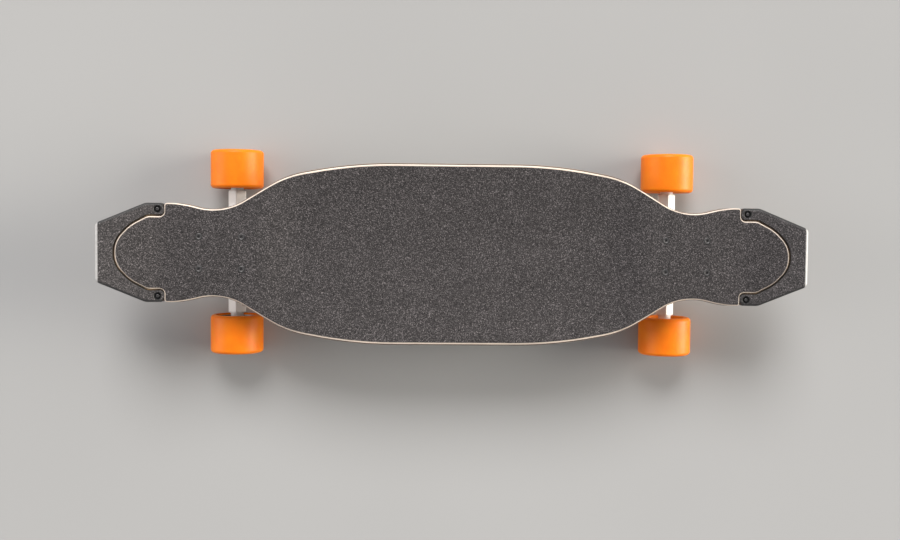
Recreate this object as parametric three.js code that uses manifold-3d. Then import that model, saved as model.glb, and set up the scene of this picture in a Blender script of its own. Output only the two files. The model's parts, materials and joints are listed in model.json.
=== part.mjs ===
// Electric skateboard: a laminated deck with bolted end bumpers on two reverse-kingpin trucks,
// plain wheels in front, a hub motor in each rear wheel, and a battery tray under the deck.
// Millimetres, +Z up, +X to the nose, +Y to the rider's left. The origin is on the ground
// under the middle of the deck.
import * as THREE from "three";
import { mergeVertices } from "three/addons/utils/BufferGeometryUtils.js";
import Module from "manifold-3d";

const wasm = await Module();
wasm.setup();

// ---------------------------------------------------------------- driving dimensions
const gap = 0.3; // between pieces that touch, and round a shaft in its bore

// Deck plan. Corner places are measured from the end of the board or from its middle line.
const boardLength = 906;
const deckWidth = 234;
const shoulder = { fromEnd: 326, belowSide: 0, radius: 570 };
const hip = { fromEnd: 238.5, belowSide: 15.5, radius: 123 };
const waist = { fromEnd: 156.5, fromMiddle: 51, radius: 75 };
const neck = { fromEnd: 106, fromMiddle: 63.3, radius: 99 };

// Deck section along its length. Heights are offsets from the flats that carry the trucks.
const deckThickness = 12;
const dropDepth = 10; // the standing platform lies this far below the truck flats
const dropStartFromEnd = 195;
const dropRun = 64;
const concaveRise = 10; // the platform's edges stand this far above its middle
const kickStartFromEnd = 88;
const kickRadius = 90;
const kickAngle = THREE.MathUtils.degToRad(14);
const gripThickness = 1;
const gripInset = 3; // bare wood left round the grip

// End bumpers: U-shaped mouldings over a stepped ledge of the deck.
const bumperLength = 82.4;
const bumperTip = { outerRadius: 5, innerRadius: 5.5 };
const bumperShoulder = { fromEnd: 59, radius: 15 };
const bumperCorner = { fromMiddle: 37, radius: 7 };
const bumperCoverDepth = 6; // the ledge starts this far below the deck's top
const bumperSkirt = 3; // wall outside the ledge
const bumperSeam = 2;
const tongueHalfWidth = 46.3;
const tongueShoulder = { fromEnd: 62, radius: 12 };
const tongueSide = { fromEnd: 41, fromMiddle: 34.5, radius: 50 };
const tongueTip = { fromEnd: 23, fromMiddle: 14.2, radius: 35 };
const seamCornerRadius = 3.5;
const tongueRootRadius = 6;
const bumperScrew = { fromEnd: 74, fromMiddle: 55.5, headRadius: 3, headHeight: 3.5, shankRadius: 2 };
const bumperScrewLength = 12;
const bumperScrewHex = { acrossCorners: 3.4, depth: 2 };
const counterboreRadius = 4.6;
const counterboreDepth = 4.6;

// Truck bolts: the usual hole pattern of longboard trucks.
const truckFromEnd = 153;
const boltSpacingLong = 54;
const boltSpacingWide = 41.3;
const bolt = { headRadius: 4.7, headHeight: 2.6, shankRadius: 2.4, hexRadius: 1.8, hexDepth: 2 };
const boltBelowPlate = 7;

// Wheels and axles.
const wheelDiameter = 70;
const wheelWidth = 51;
const wheelLip = 5;
const wheelCentreFromMiddle = 110;
const coreRadius = 19;
const coreHalfWidth = 13;
const axleRadius = 4;
const bearing = { outerRadius: 11, width: 7, apart: 10 };
const bearingStopHeight = 1.5; // the core's rib between its two bearings
const axleNut = { acrossCorners: 14.6, width: 7 };
const axleThreadPastNut = 1.5;
const rotorRadius = 27.5;
const rotorWall = 2.5;
const rotorHalfWidth = 23;
const rotorNutPocket = 7; // how far the outer nut is let into the rotor
const rotorEndPlate = 4;
const statorAirGap = 0.8;

// Trucks.
const truckHeight = 62; // deck underside to axle
const axleSetback = 10; // the axle lies this far inboard of the bolt pattern's middle
const steerAngle = THREE.MathUtils.degToRad(42);
const axleToRing = 29; // along the steering axis
const axleOffset = 14; // off the steering axis, towards the ground
const ringToPivot = 50;
const baseplate = { length: 80, width: 58, thickness: 6, cornerRadius: 8, wedgeHalfWidth: 14.5 };
const kingpinRadius = 4.75;
const kingpinHead = { acrossCorners: 16, height: 6 };
const kingpinNutHeight = 7;
const headSeatDepth = 8; // metal between the kingpin head and the upper bushing
const hangerRing = { radius: 17, thickness: 9, boreRadius: 7.3 };
const bushingRadius = 12.5;
const bushingWaist = 1.5;
const upperBushingHeight = 15;
const lowerBushingHeight = 13;
const bushingWasher = { radius: 12, thickness: 2 };
const pivotRadius = 5.5;
const pivotCupWall = 2.7;
const pivotCupLength = 11.5;
const pivotBossWall = 2.2;
const hangerBarWidth = 23; // along the board
const hangerBar = { ridge: 10.5, eaves: 2.5, side: -4, bottom: -9.5 }; // heights from the axle
const hangerYoke = { width: 48, noseWidth: 14 };
const hangerWeb = { width: 120, startWidth: 40, noseWidth: 24, inset: 2 };
const hangerBarToWheel = 2.5;
const hangerBossRadius = 8.5;
const rearBossInsideWheel = 3.5;

// Battery tray.
const trayEndFromDrop = 20; // between the end of the standing platform and the tray
const trayHalfWidth = 74;
const trayCornerRadius = 22;
const trayDepth = 33;
const trayWall = 3;
const trayFlange = { width: 10, thickness: 3 };
const gasketThickness = 1.5;
const fittingLevel = 0.45; // height of the fittings in the tray's wall, as a share of its depth
const controller = { length: 104, width: 112, height: 18, cornerRadius: 3 };
const batteryWidth = 132;
const batteryHeight = 21;
const batteryCornerRadius = 9;
const packSpacing = 8;
const powerButton = { radius: 6, proud: 1.6, flangeRadius: 8, flangeThickness: 1.2, fromTrayEnd: 52 };
const chargeSocket = {
  radius: 7, rimRadius: 9.5, rimThickness: 1.5, boreRadius: 3, depth: 12, fromTrayEnd: 90,
};
const portCover = {
  radius: 10.5, thickness: 2, hingeRadius: 1.6, hingeAbove: 12.5, tabWidth: 8, barrelLength: 10,
};
const leadGland = {
  radius: 7, hexAcrossCorners: 19, hexThickness: 6, boreRadius: 3.5, capHeight: 5, capTaper: 3,
};

// ---------------------------------------------------------------- levels and places
const clear = 30; // far enough for a cutting tool to reach past the face that it cuts
const halfLength = boardLength / 2;
const halfWidth = deckWidth / 2;
const axleHeight = wheelDiameter / 2;
const flatUnderside = axleHeight + truckHeight;
const flatTop = flatUnderside + deckThickness;
const truckX = halfLength - truckFromEnd;
const seamX = halfLength - bumperLength;
const dropStart = halfLength - dropStartFromEnd;
const platformEnd = dropStart - dropRun;
const kickStart = halfLength - kickStartFromEnd;

// ---------------------------------------------------------------- solids from geometry
function weld(geometry) {
  const bare = geometry.index ? geometry.clone() : geometry;
  bare.deleteAttribute("normal");
  bare.deleteAttribute("uv");
  const merged = mergeVertices(bare, 1e-4);
  const corners = merged.index.array;
  const kept = [];
  for (let i = 0; i < corners.length; i += 3) {
    const [a, b, c] = [corners[i], corners[i + 1], corners[i + 2]];
    if (a !== b && b !== c && c !== a) kept.push(a, b, c);
  }
  merged.setIndex(kept);
  return merged;
}

function toManifold(geometry) {
  const welded = weld(geometry);
  return new wasm.Manifold(new wasm.Mesh({
    numProp: 3,
    vertProperties: Float32Array.from(welded.attributes.position.array),
    triVerts: Uint32Array.from(welded.index.array),
  }));
}

function toGeometry(manifold) {
  const mesh = manifold.getMesh();
  const geometry = new THREE.BufferGeometry();
  geometry.setAttribute("position", new THREE.BufferAttribute(mesh.vertProperties, 3));
  geometry.setIndex(new THREE.BufferAttribute(mesh.triVerts, 1));
  geometry.computeVertexNormals();
  return geometry;
}

function join(...geometries) {
  const [first, ...others] = geometries.map(toManifold);
  return toGeometry(others.reduce((sum, other) => sum.add(other), first));
}

function cut(geometry, ...tools) {
  return toGeometry(tools.map(toManifold).reduce((rest, tool) => rest.subtract(tool), toManifold(geometry)));
}

function common(geometry, other) {
  return toGeometry(toManifold(geometry).intersect(toManifold(other)));
}

// How many flats stand for a full circle.
const smallRound = 16;
const motorRound = 24;
const tyreRound = 36;
const fastenerRound = 12;

// A turned piece about Z. The profile lists [radius, z] points upwards along its outside.
function turned(profile, segments = smallRound) {
  const points = profile.map(([radius, z]) => new THREE.Vector2(radius, z));
  return new THREE.LatheGeometry(points, segments).rotateX(Math.PI / 2);
}

function rod(radius, from, to, segments = smallRound) {
  return turned([[0, from], [radius, from], [radius, to], [0, to]], segments);
}

function ring(inner, outer, from, to, segments = smallRound) {
  return turned([[inner, from], [outer, from], [outer, to], [inner, to], [inner, from]], segments);
}

// Along Y instead of Z, with +Z turned to +Y.
function acrossBoard(geometry) {
  return geometry.rotateX(-Math.PI / 2);
}

function prism(points, from, to) {
  const shape = new THREE.Shape(points.map(({ x, y }) => new THREE.Vector2(x, y)));
  return new THREE.ExtrudeGeometry(shape, { depth: to - from, bevelEnabled: false }).translate(0, 0, from);
}

function hexagon(acrossCorners) {
  const radius = acrossCorners / 2;
  return [0, 1, 2, 3, 4, 5].map((i) => ({
    x: radius * Math.cos(i * Math.PI / 3),
    y: radius * Math.sin(i * Math.PI / 3),
  }));
}

function hexNut(acrossCorners, boreRadius, from, to) {
  return cut(prism(hexagon(acrossCorners), from, to), rod(boreRadius, from - 1, to + 1));
}

// ---------------------------------------------------------------- outlines
const chordSag = 0.3;

// Replaces a corner by an arc that is tangent to both of its sides.
function roundedCorner(before, corner, after) {
  const { x, y, radius = 0 } = corner;
  if (radius === 0) return [{ x, y }];
  const back = new THREE.Vector2(before.x - x, before.y - y).normalize();
  const ahead = new THREE.Vector2(after.x - x, after.y - y).normalize();
  const turn = Math.PI - Math.acos(THREE.MathUtils.clamp(back.dot(ahead), -1, 1));
  const start = back.clone().multiplyScalar(radius * Math.tan(turn / 2));
  const bisector = back.clone().add(ahead).normalize().multiplyScalar(radius / Math.cos(turn / 2));
  const spoke = start.clone().sub(bisector);
  const direction = Math.sign(back.x * ahead.y - back.y * ahead.x);
  const steps = Math.ceil(turn / (2 * Math.acos(1 - chordSag / radius)));
  const points = [];
  for (let i = 0; i <= steps; i += 1) {
    const arm = spoke.clone().rotateAround(new THREE.Vector2(), -direction * turn * (i / steps));
    points.push({ x: x + bisector.x + arm.x, y: y + bisector.y + arm.y });
  }
  return points;
}

function rounded(corners) {
  const at = (i) => corners[(i + corners.length) % corners.length];
  return corners.flatMap((corner, i) => roundedCorner(at(i - 1), corner, at(i + 1)));
}

// Moves a clockwise outline inwards by the given distance.
function inset(points, distance) {
  const at = (i) => points[(i + points.length) % points.length];
  const leaving = (a, b) => new THREE.Vector2(b.x - a.x, b.y - a.y).normalize();
  return points.map((point, i) => {
    const along = leaving(at(i - 1), point);
    const next = leaving(point, at(i + 1));
    const inward = new THREE.Vector2(along.y + next.y, -along.x - next.x).normalize();
    const stretch = 1 / Math.max(0.5, inward.x * next.y - inward.y * next.x);
    return { x: point.x + inward.x * distance * stretch, y: point.y + inward.y * distance * stretch };
  });
}

const mirrored = (corners) => corners.map((corner) => ({ ...corner, y: -corner.y })).reverse();
const turnedRound = (corners) => corners.map((corner) => ({ ...corner, x: -corner.x, y: -corner.y }));

function roundedRectangle(halfLong, halfWide, radius) {
  const end = [{ x: halfLong, y: halfWide, radius }, { x: halfLong, y: -halfWide, radius }];
  return rounded([...end, ...turnedRound(end)]);
}

// Corners of the deck's side between its middle and the bumper seam, at the nose and on +Y.
function sideCorners() {
  return [
    { x: halfLength - shoulder.fromEnd, y: halfWidth - shoulder.belowSide, radius: shoulder.radius },
    { x: halfLength - hip.fromEnd, y: halfWidth - hip.belowSide, radius: hip.radius },
    { x: halfLength - waist.fromEnd, y: waist.fromMiddle, radius: waist.radius },
    { x: halfLength - neck.fromEnd, y: neck.fromMiddle, radius: neck.radius },
  ];
}

// The tongue that the bumper wraps round, grown outwards by the given margin.
function tongueCorners(margin) {
  const corners = [
    { x: halfLength - tongueShoulder.fromEnd, y: tongueHalfWidth, radius: tongueShoulder.radius },
    { x: halfLength - tongueSide.fromEnd, y: tongueSide.fromMiddle, radius: tongueSide.radius },
    { x: halfLength - tongueTip.fromEnd, y: tongueTip.fromMiddle, radius: tongueTip.radius },
  ];
  const path = [{ x: seamX, y: tongueHalfWidth }, ...corners, { x: halfLength - tongueTip.fromEnd, y: 0 }];
  return corners.map((corner, i) => grown(path[i], corner, path[i + 2], margin));
}

// The corner of a clockwise path when the path is moved outwards by the given margin.
function grown(before, corner, after, margin) {
  const outward = (a, b) => new THREE.Vector2(a.y - b.y, b.x - a.x).normalize();
  const first = outward(before, corner);
  const second = outward(corner, after);
  const reach = margin / (1 + first.dot(second));
  return {
    x: corner.x + (first.x + second.x) * reach,
    y: corner.y + (first.y + second.y) * reach,
    radius: corner.radius + margin,
  };
}

const bothSides = (corners) => [...corners, ...mirrored(corners)];

// Outline of the deck's top face: the whole deck without the bumpers.
function deckTopOutline() {
  const seamCorners = [
    { x: seamX, y: neck.fromMiddle, radius: seamCornerRadius },
    { x: seamX, y: tongueHalfWidth, radius: tongueRootRadius },
  ];
  const end = bothSides([...sideCorners(), ...seamCorners, ...tongueCorners(0)]);
  return rounded([...end, ...turnedRound(end)]);
}

function bumperSideCorners(start, radius) {
  return [
    { x: start, y: neck.fromMiddle, radius },
    { x: halfLength - bumperShoulder.fromEnd, y: neck.fromMiddle, radius: bumperShoulder.radius },
    { x: halfLength, y: bumperCorner.fromMiddle, radius: bumperCorner.radius },
  ];
}

// The bumper's U, from one tip round the board's end to the other tip and back inside.
function bumperOutline() {
  const start = seamX + gap;
  const outside = bumperSideCorners(start, bumperTip.outerRadius);
  const inside = [
    { x: start, y: tongueHalfWidth + bumperSeam, radius: bumperTip.innerRadius },
    ...tongueCorners(bumperSeam),
  ];
  return rounded([...bothSides(outside), ...bothSides(inside).reverse()]);
}

// The ledge under the bumper, inside its skirt, from well before the seam.
function ledgeOutline(margin) {
  const beforeSeam = seamX - 20;
  return inset(rounded(bothSides(bumperSideCorners(beforeSeam, 0))), bumperSkirt + margin);
}

// Outline of the deck with its ledges, which stop short of the bumper's skirt.
function deckFullOutline() {
  const beyondSeam = ledgeOutline(gap).filter(({ x }) => x > seamX);
  const side = [
    ...sideCorners(),
    { x: seamX, y: neck.fromMiddle, radius: seamCornerRadius },
    { x: seamX, y: neck.fromMiddle - bumperSkirt - gap },
  ];
  const end = [...side, ...beyondSeam, ...mirrored(side)];
  return rounded([...end, ...turnedRound(end)]);
}

// ---------------------------------------------------------------- the deck's bent surface
const smooth = (t) => THREE.MathUtils.smoothstep(t, 0, 1);

function kickRise(distance) {
  const bend = kickRadius * Math.sin(kickAngle);
  if (distance <= 0) return 0;
  if (distance <= bend) return kickRadius - Math.sqrt(kickRadius ** 2 - distance ** 2);
  return kickRadius * (1 - Math.cos(kickAngle)) + (distance - bend) * Math.tan(kickAngle);
}

// Height of the deck's top face.
function deckTop(x, y) {
  const fromMiddle = Math.abs(x);
  const dropped = smooth((dropStart - fromMiddle) / dropRun);
  const concave = concaveRise * dropped * (y / halfWidth) ** 2;
  return flatTop - dropDepth * dropped + concave + kickRise(fromMiddle - kickStart);
}

const slabHalfWidth = halfWidth + 10;
const slabHalfLength = halfLength + 20;

function stationsAlong() {
  const dropSteps = 5;
  const kickSteps = 2;
  const half = [];
  for (let i = 0; i <= dropSteps; i += 1) half.push(platformEnd + (dropRun * i) / dropSteps);
  for (let i = 0; i <= kickSteps; i += 1) {
    half.push(kickStart + (kickRadius * Math.sin(kickAngle) * i) / kickSteps);
  }
  half.push(slabHalfLength);
  return [...half.map((x) => -x).reverse(), ...half];
}

const stations = stationsAlong();
const cellsAcross = 8;

// A plate between two height functions that covers more than the whole board. Its top and
// bottom share one pattern of triangles, so plates at different offsets never cross.
function plate(topAt, bottomAt) {
  const rows = cellsAcross + 1;
  const points = [topAt, bottomAt].flatMap((heightAt) => stations.flatMap((x) => (
    Array.from({ length: rows }, (_, row) => {
      const y = slabHalfWidth * ((2 * row) / cellsAcross - 1);
      return [x, y, heightAt(x, y)];
    })
  )));
  const top = (column, row) => column * rows + row;
  const bottom = (column, row) => stations.length * rows + top(column, row);
  const last = stations.length - 1;
  const triangles = [];
  const quad = (a, b, c, d) => triangles.push(a, b, c, a, c, d);
  for (let column = 0; column < last; column += 1) {
    for (let row = 0; row < cellsAcross; row += 1) {
      quad(top(column, row), top(column + 1, row), top(column + 1, row + 1), top(column, row + 1));
      triangles.push(bottom(column, row), bottom(column + 1, row + 1), bottom(column + 1, row));
      triangles.push(bottom(column, row), bottom(column, row + 1), bottom(column + 1, row + 1));
    }
    quad(bottom(column, 0), bottom(column + 1, 0), top(column + 1, 0), top(column, 0));
    const edge = cellsAcross;
    quad(top(column, edge), top(column + 1, edge), bottom(column + 1, edge), bottom(column, edge));
  }
  for (let row = 0; row < cellsAcross; row += 1) {
    quad(top(0, row), top(0, row + 1), bottom(0, row + 1), bottom(0, row));
    quad(bottom(last, row), bottom(last, row + 1), top(last, row + 1), top(last, row));
  }
  const geometry = new THREE.BufferGeometry();
  geometry.setAttribute("position", new THREE.Float32BufferAttribute(points.flat(), 3));
  geometry.setIndex(triangles);
  return geometry;
}

// A plate that follows the deck, between two offsets from its top face.
function bentPlate(top, bottom) {
  return plate((x, y) => deckTop(x, y) + top, (x, y) => deckTop(x, y) + bottom);
}

const high = flatTop + 200;
const allHeights = (points) => prism(points, -clear, high);

// A frame that stands on the deck's top face, with Z square to it.
function onDeck(x, y) {
  const step = 0.5;
  const slopeX = (deckTop(x + step, y) - deckTop(x - step, y)) / (2 * step);
  const slopeY = (deckTop(x, y + step) - deckTop(x, y - step)) / (2 * step);
  const normal = new THREE.Vector3(-slopeX, -slopeY, 1).normalize();
  const turn = new THREE.Quaternion().setFromUnitVectors(new THREE.Vector3(0, 0, 1), normal);
  const place = new THREE.Vector3(x, y, deckTop(x, y));
  return new THREE.Matrix4().compose(place, turn, new THREE.Vector3(1, 1, 1));
}

// ---------------------------------------------------------------- materials
const finish = (colour, roughness, metalness) => ({ color: colour, roughness, metalness });
const finishes = {
  maple: finish(0xd8b48a, 0.45, 0),
  grip: finish(0x4f4c4d, 0.95, 0),
  bumperPlastic: finish(0x4b4849, 0.8, 0),
  trayPlastic: finish(0x262628, 0.55, 0),
  rubber: finish(0x1d1d1e, 0.9, 0),
  battery: finish(0x2a5caa, 0.5, 0),
  circuit: finish(0x7e8388, 0.45, 0.7),
  castWhite: finish(0xf2efec, 0.35, 0.1),
  steel: finish(0xb9bcc0, 0.3, 1),
  blackSteel: finish(0x2b2b2d, 0.4, 0.8),
  bushing: finish(0xd8d3c8, 0.5, 0),
  urethane: finish(0xf0741a, 0.35, 0),
  corePlastic: finish(0xe9e6e0, 0.45, 0),
  motorCan: finish(0x8f9296, 0.3, 0.9),
  copper: finish(0xa5652f, 0.4, 0.8),
};

const board = new THREE.Group();

function piece(name, geometry, finishName, parent = board) {
  const mesh = new THREE.Mesh(geometry, new THREE.MeshStandardMaterial(finishes[finishName]));
  mesh.name = name;
  parent.add(mesh);
  return mesh;
}

// ---------------------------------------------------------------- deck, grip and bumpers
const ends = [
  { end: "nose", truck: "front", side: 1 },
  { end: "tail", truck: "rear", side: -1 },
];

const boltPlaces = [];
for (const long of [-1, 1]) {
  for (const wide of [-1, 1]) {
    boltPlaces.push({ x: (long * boltSpacingLong) / 2, y: (wide * boltSpacingWide) / 2 });
  }
}

const bumperScrewX = halfLength - bumperScrew.fromEnd;
const bumperScrewPlaces = [
  { name: "left", y: bumperScrew.fromMiddle },
  { name: "right", y: -bumperScrew.fromMiddle },
];

// Holes of all the truck bolts, with their countersinks.
function boltHoles(clearance) {
  const head = bolt.headRadius + clearance;
  const shank = bolt.shankRadius + clearance;
  const profile = [
    [0, -clear], [shank, -clear], [shank, -bolt.headHeight], [head, 0], [head, clear], [0, clear],
  ];
  return ends.flatMap(({ side }) => boltPlaces.map(({ x, y }) => (
    turned(profile, fastenerRound).translate(side * truckX + x, y, flatTop)
  )));
}

function bumperScrewHoles(radius, from, to) {
  return ends.flatMap(({ side }) => bumperScrewPlaces.map(({ y }) => (
    rod(radius, from, to, fastenerRound).applyMatrix4(onDeck(side * bumperScrewX, y))
  )));
}

function buildDeck() {
  const blank = common(bentPlate(0, -deckThickness), allHeights(deckFullOutline()));
  const beyondSeam = bothSides([{ x: seamX, y: slabHalfWidth }, { x: slabHalfLength, y: slabHalfWidth }]);
  const overLedge = common(bentPlate(clear, -bumperCoverDepth), allHeights(beyondSeam));
  const rebate = cut(overLedge, allHeights(deckTopOutline()));
  const tailRebate = rebate.clone().rotateZ(Math.PI);
  const screwHoles = bumperScrewHoles(bumperScrew.shankRadius + gap, -clear, clear);
  return cut(blank, rebate, tailRebate, ...boltHoles(gap), ...screwHoles);
}

function buildGrip() {
  const outline = inset(deckTopOutline(), gripInset);
  const sheet = common(bentPlate(gap / 2 + gripThickness, gap / 2), allHeights(outline));
  return cut(sheet, ...boltHoles(gap));
}

function buildBumper() {
  const top = gap / 2 + gripThickness;
  const blank = common(bentPlate(top, -deckThickness), allHeights(bumperOutline()));
  const underCover = common(bentPlate(-bumperCoverDepth + gap, -clear), allHeights(ledgeOutline(0)));
  const counterbores = bumperScrewHoles(counterboreRadius, top - counterboreDepth, clear);
  const holes = bumperScrewHoles(bumperScrew.shankRadius + gap, -clear, clear);
  return cut(blank, underCover, ...counterbores, ...holes);
}

function buildBumperScrew() {
  const seat = gap / 2 + gripThickness - counterboreDepth + gap;
  const top = seat + bumperScrew.headHeight;
  const { headRadius, shankRadius } = bumperScrew;
  const profile = [
    [0, top - bumperScrewLength], [shankRadius, top - bumperScrewLength],
    [shankRadius, seat], [headRadius, seat], [headRadius, top], [0, top],
  ];
  const { acrossCorners, depth } = bumperScrewHex;
  return cut(turned(profile, fastenerRound), prism(hexagon(acrossCorners), top - depth, top + clear));
}

function buildBolt() {
  const top = gap / 2;
  const bottom = -deckThickness - gap - baseplate.thickness - boltBelowPlate;
  const { headRadius, shankRadius, headHeight, hexRadius, hexDepth } = bolt;
  const profile = [
    [0, bottom], [shankRadius, bottom], [shankRadius, -headHeight],
    [headRadius, 0], [headRadius, top], [0, top],
  ];
  return cut(turned(profile, fastenerRound), prism(hexagon(2 * hexRadius), top - hexDepth, top + clear));
}

function addDeck() {
  piece("deck", buildDeck(), "maple");
  piece("grip_tape", buildGrip(), "grip");
  const bumper = buildBumper();
  const screw = buildBumperScrew();
  const boltShape = buildBolt();
  for (const { end, truck, side } of ends) {
    const turnedBumper = side > 0 ? bumper : bumper.clone().rotateZ(Math.PI);
    piece(`${end}_bumper`, turnedBumper, "bumperPlastic");
    for (const { name, y } of bumperScrewPlaces) {
      const placed = screw.clone().applyMatrix4(onDeck(side * bumperScrewX, y));
      piece(`${end}_bumper_screw_${name}`, placed, "blackSteel");
    }
    boltPlaces.forEach(({ x, y }, i) => {
      const mesh = piece(`${truck}_truck_bolt_${i + 1}`, boltShape, "blackSteel");
      mesh.position.set(side * truckX + x, y, flatTop);
    });
  }
}

// ---------------------------------------------------------------- trucks
// Every truck is drawn with its outer end towards +X and its origin in the middle of the
// bolt pattern on the deck's underside. Its kingpin frame has its origin in the middle of the
// hanger's ring: X runs down the steering axis to the pivot, and Z down the kingpin to its nut.
const steerAxis = new THREE.Vector3(Math.cos(steerAngle), 0, Math.sin(steerAngle));
const kingpinAxis = new THREE.Vector3(Math.sin(steerAngle), 0, -Math.cos(steerAngle));
const axlePlace = new THREE.Vector3(-axleSetback, 0, -truckHeight);
const ringPlace = axlePlace.clone()
  .addScaledVector(steerAxis, axleToRing)
  .addScaledVector(kingpinAxis, -axleOffset);
const kingpinFrame = new THREE.Matrix4()
  .makeBasis(steerAxis.clone().negate(), new THREE.Vector3(0, 1, 0), kingpinAxis)
  .setPosition(ringPlace);

const seatLevel = -hangerRing.thickness / 2 - 2 * gap - upperBushingHeight;
const lowerBushingTop = hangerRing.thickness / 2 + gap;
const washerTop = lowerBushingTop + lowerBushingHeight + gap;
const nutTop = washerTop + bushingWasher.thickness + gap;
const kingpinEnd = nutTop + kingpinNutHeight + 2;
const headLevel = seatLevel - headSeatDepth;
const cupStart = ringToPivot - pivotCupLength / 2;
const cupEnd = ringToPivot + pivotCupLength / 2;
const cupOuterRadius = pivotRadius + gap + pivotCupWall;
const bossRadius = cupOuterRadius + gap + pivotBossWall;

// A turned piece on the steering axis, measured from the ring towards the pivot.
function onSteerAxis(geometry) {
  return geometry.rotateY(Math.PI / 2);
}

// A side view outline in X and Z, as wide as twice the given half width.
function sideProfile(points, halfThickness) {
  return prism(points, -halfThickness, halfThickness).rotateX(Math.PI / 2);
}

function fromKingpinFrame(along, down) {
  const point = new THREE.Vector3(along, 0, down).applyMatrix4(kingpinFrame);
  return { x: point.x, y: point.z };
}

function buildBaseplate() {
  const { length, width, thickness, cornerRadius, wedgeHalfWidth } = baseplate;
  const outline = roundedRectangle(length / 2, width / 2, cornerRadius);
  const flange = prism(outline, -thickness - gap, -gap);
  const plateLevel = -thickness / 2;
  const bossFront = cupStart - 1;
  const bossBack = cupEnd + 2;
  const wedge = sideProfile([
    { x: ringPlace.x + 2, y: plateLevel },
    fromKingpinFrame((ringPlace.z - plateLevel) / Math.sin(steerAngle) + clear, seatLevel),
    fromKingpinFrame(bossFront, seatLevel),
    fromKingpinFrame(bossFront, -bossRadius + 1),
    fromKingpinFrame(bossBack, -bossRadius + 2),
    { x: -length / 2 - 12, y: ringPlace.z - 15 },
    { x: -length / 2 + 2, y: plateLevel },
  ], wedgeHalfWidth);
  const boss = onSteerAxis(rod(bossRadius, bossFront, bossBack)).applyMatrix4(kingpinFrame);
  const cupBore = onSteerAxis(rod(cupOuterRadius + gap, 0, cupEnd + gap)).applyMatrix4(kingpinFrame);
  const deep = -3 * clear;
  const kingpinBore = rod(kingpinRadius + gap, deep, 0).applyMatrix4(kingpinFrame);
  const headPocket = rod(kingpinHead.acrossCorners / 2 + gap, deep, headLevel).applyMatrix4(kingpinFrame);
  const boltHole = rod(bolt.shankRadius + gap, -clear, clear, fastenerRound);
  const holes = boltPlaces.map(({ x, y }) => boltHole.clone().translate(x, y, 0));
  const belowSeat = new THREE.BoxGeometry(2 * clear, 3 * clear, 2 * clear);
  belowSeat.translate(bossFront - clear, 0, seatLevel + clear).applyMatrix4(kingpinFrame);
  return cut(join(flange, cut(wedge, belowSeat), boss), cupBore, kingpinBore, headPocket, ...holes);
}

function buildHanger(bossFace) {
  const { radius, thickness, boreRadius } = hangerRing;
  const half = hangerBarWidth / 2;
  const { ridge, eaves, side, bottom } = hangerBar;
  const roof = [
    { x: -half, y: side }, { x: -half, y: eaves }, { x: 0, y: ridge }, { x: half, y: eaves },
    { x: half, y: side }, { x: half / 2, y: bottom }, { x: -half / 2, y: bottom },
  ];
  const barHalfLength = wheelCentreFromMiddle - wheelWidth / 2 - hangerBarToWheel;
  const bar = sideProfile(roof, barHalfLength).translate(axlePlace.x, 0, axlePlace.z);
  const bosses = acrossBoard(rod(hangerBossRadius, -bossFace, bossFace));
  bosses.translate(axlePlace.x, 0, axlePlace.z);
  const ringDisc = rod(radius, -thickness / 2, thickness / 2).applyMatrix4(kingpinFrame);
  const noseStart = cupStart - 3;
  const yokeOutline = bothSides([
    { x: 0, y: radius },
    { x: axleToRing, y: hangerYoke.width / 2 },
    { x: noseStart, y: hangerYoke.noseWidth / 2 },
  ]);
  const yoke = prism(yokeOutline, -thickness / 2, thickness / 2).applyMatrix4(kingpinFrame);
  const webOutline = bothSides([
    { x: radius + 2, y: hangerWeb.startWidth / 2 },
    { x: axleToRing, y: hangerWeb.width / 2 },
    { x: axleToRing + 7, y: hangerWeb.width / 2 },
    { x: noseStart - 2, y: hangerWeb.noseWidth / 2 },
  ]);
  const webTop = -thickness / 2 + hangerWeb.inset;
  const web = prism(webOutline, webTop, axleOffset - hangerWeb.inset).applyMatrix4(kingpinFrame);
  const nose = onSteerAxis(rod(pivotRadius, axleToRing, cupEnd - 1)).applyMatrix4(kingpinFrame);
  const kingpinBore = rod(boreRadius, -thickness, thickness).applyMatrix4(kingpinFrame);
  const lowerSeat = rod(bushingRadius + 1.5, thickness / 2, clear).applyMatrix4(kingpinFrame);
  const axleBore = acrossBoard(rod(axleRadius + gap, -deckWidth, deckWidth));
  axleBore.translate(axlePlace.x, 0, axlePlace.z);
  return cut(join(bar, bosses, ringDisc, yoke, web, nose), kingpinBore, lowerSeat, axleBore);
}

function buildPivotCup() {
  return onSteerAxis(ring(pivotRadius + gap, cupOuterRadius, cupStart, cupEnd));
}

function buildKingpin() {
  const headTop = headLevel - kingpinHead.height;
  const head = prism(hexagon(kingpinHead.acrossCorners), headTop, headLevel - gap);
  return join(head, rod(kingpinRadius, headLevel - 1, kingpinEnd));
}

function bushing(from, to) {
  const waistRadius = bushingRadius - bushingWaist;
  return turned([
    [kingpinRadius + gap, from], [bushingRadius, from], [waistRadius, (from + to) / 2],
    [bushingRadius, to], [kingpinRadius + gap, to], [kingpinRadius + gap, from],
  ]);
}

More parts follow.
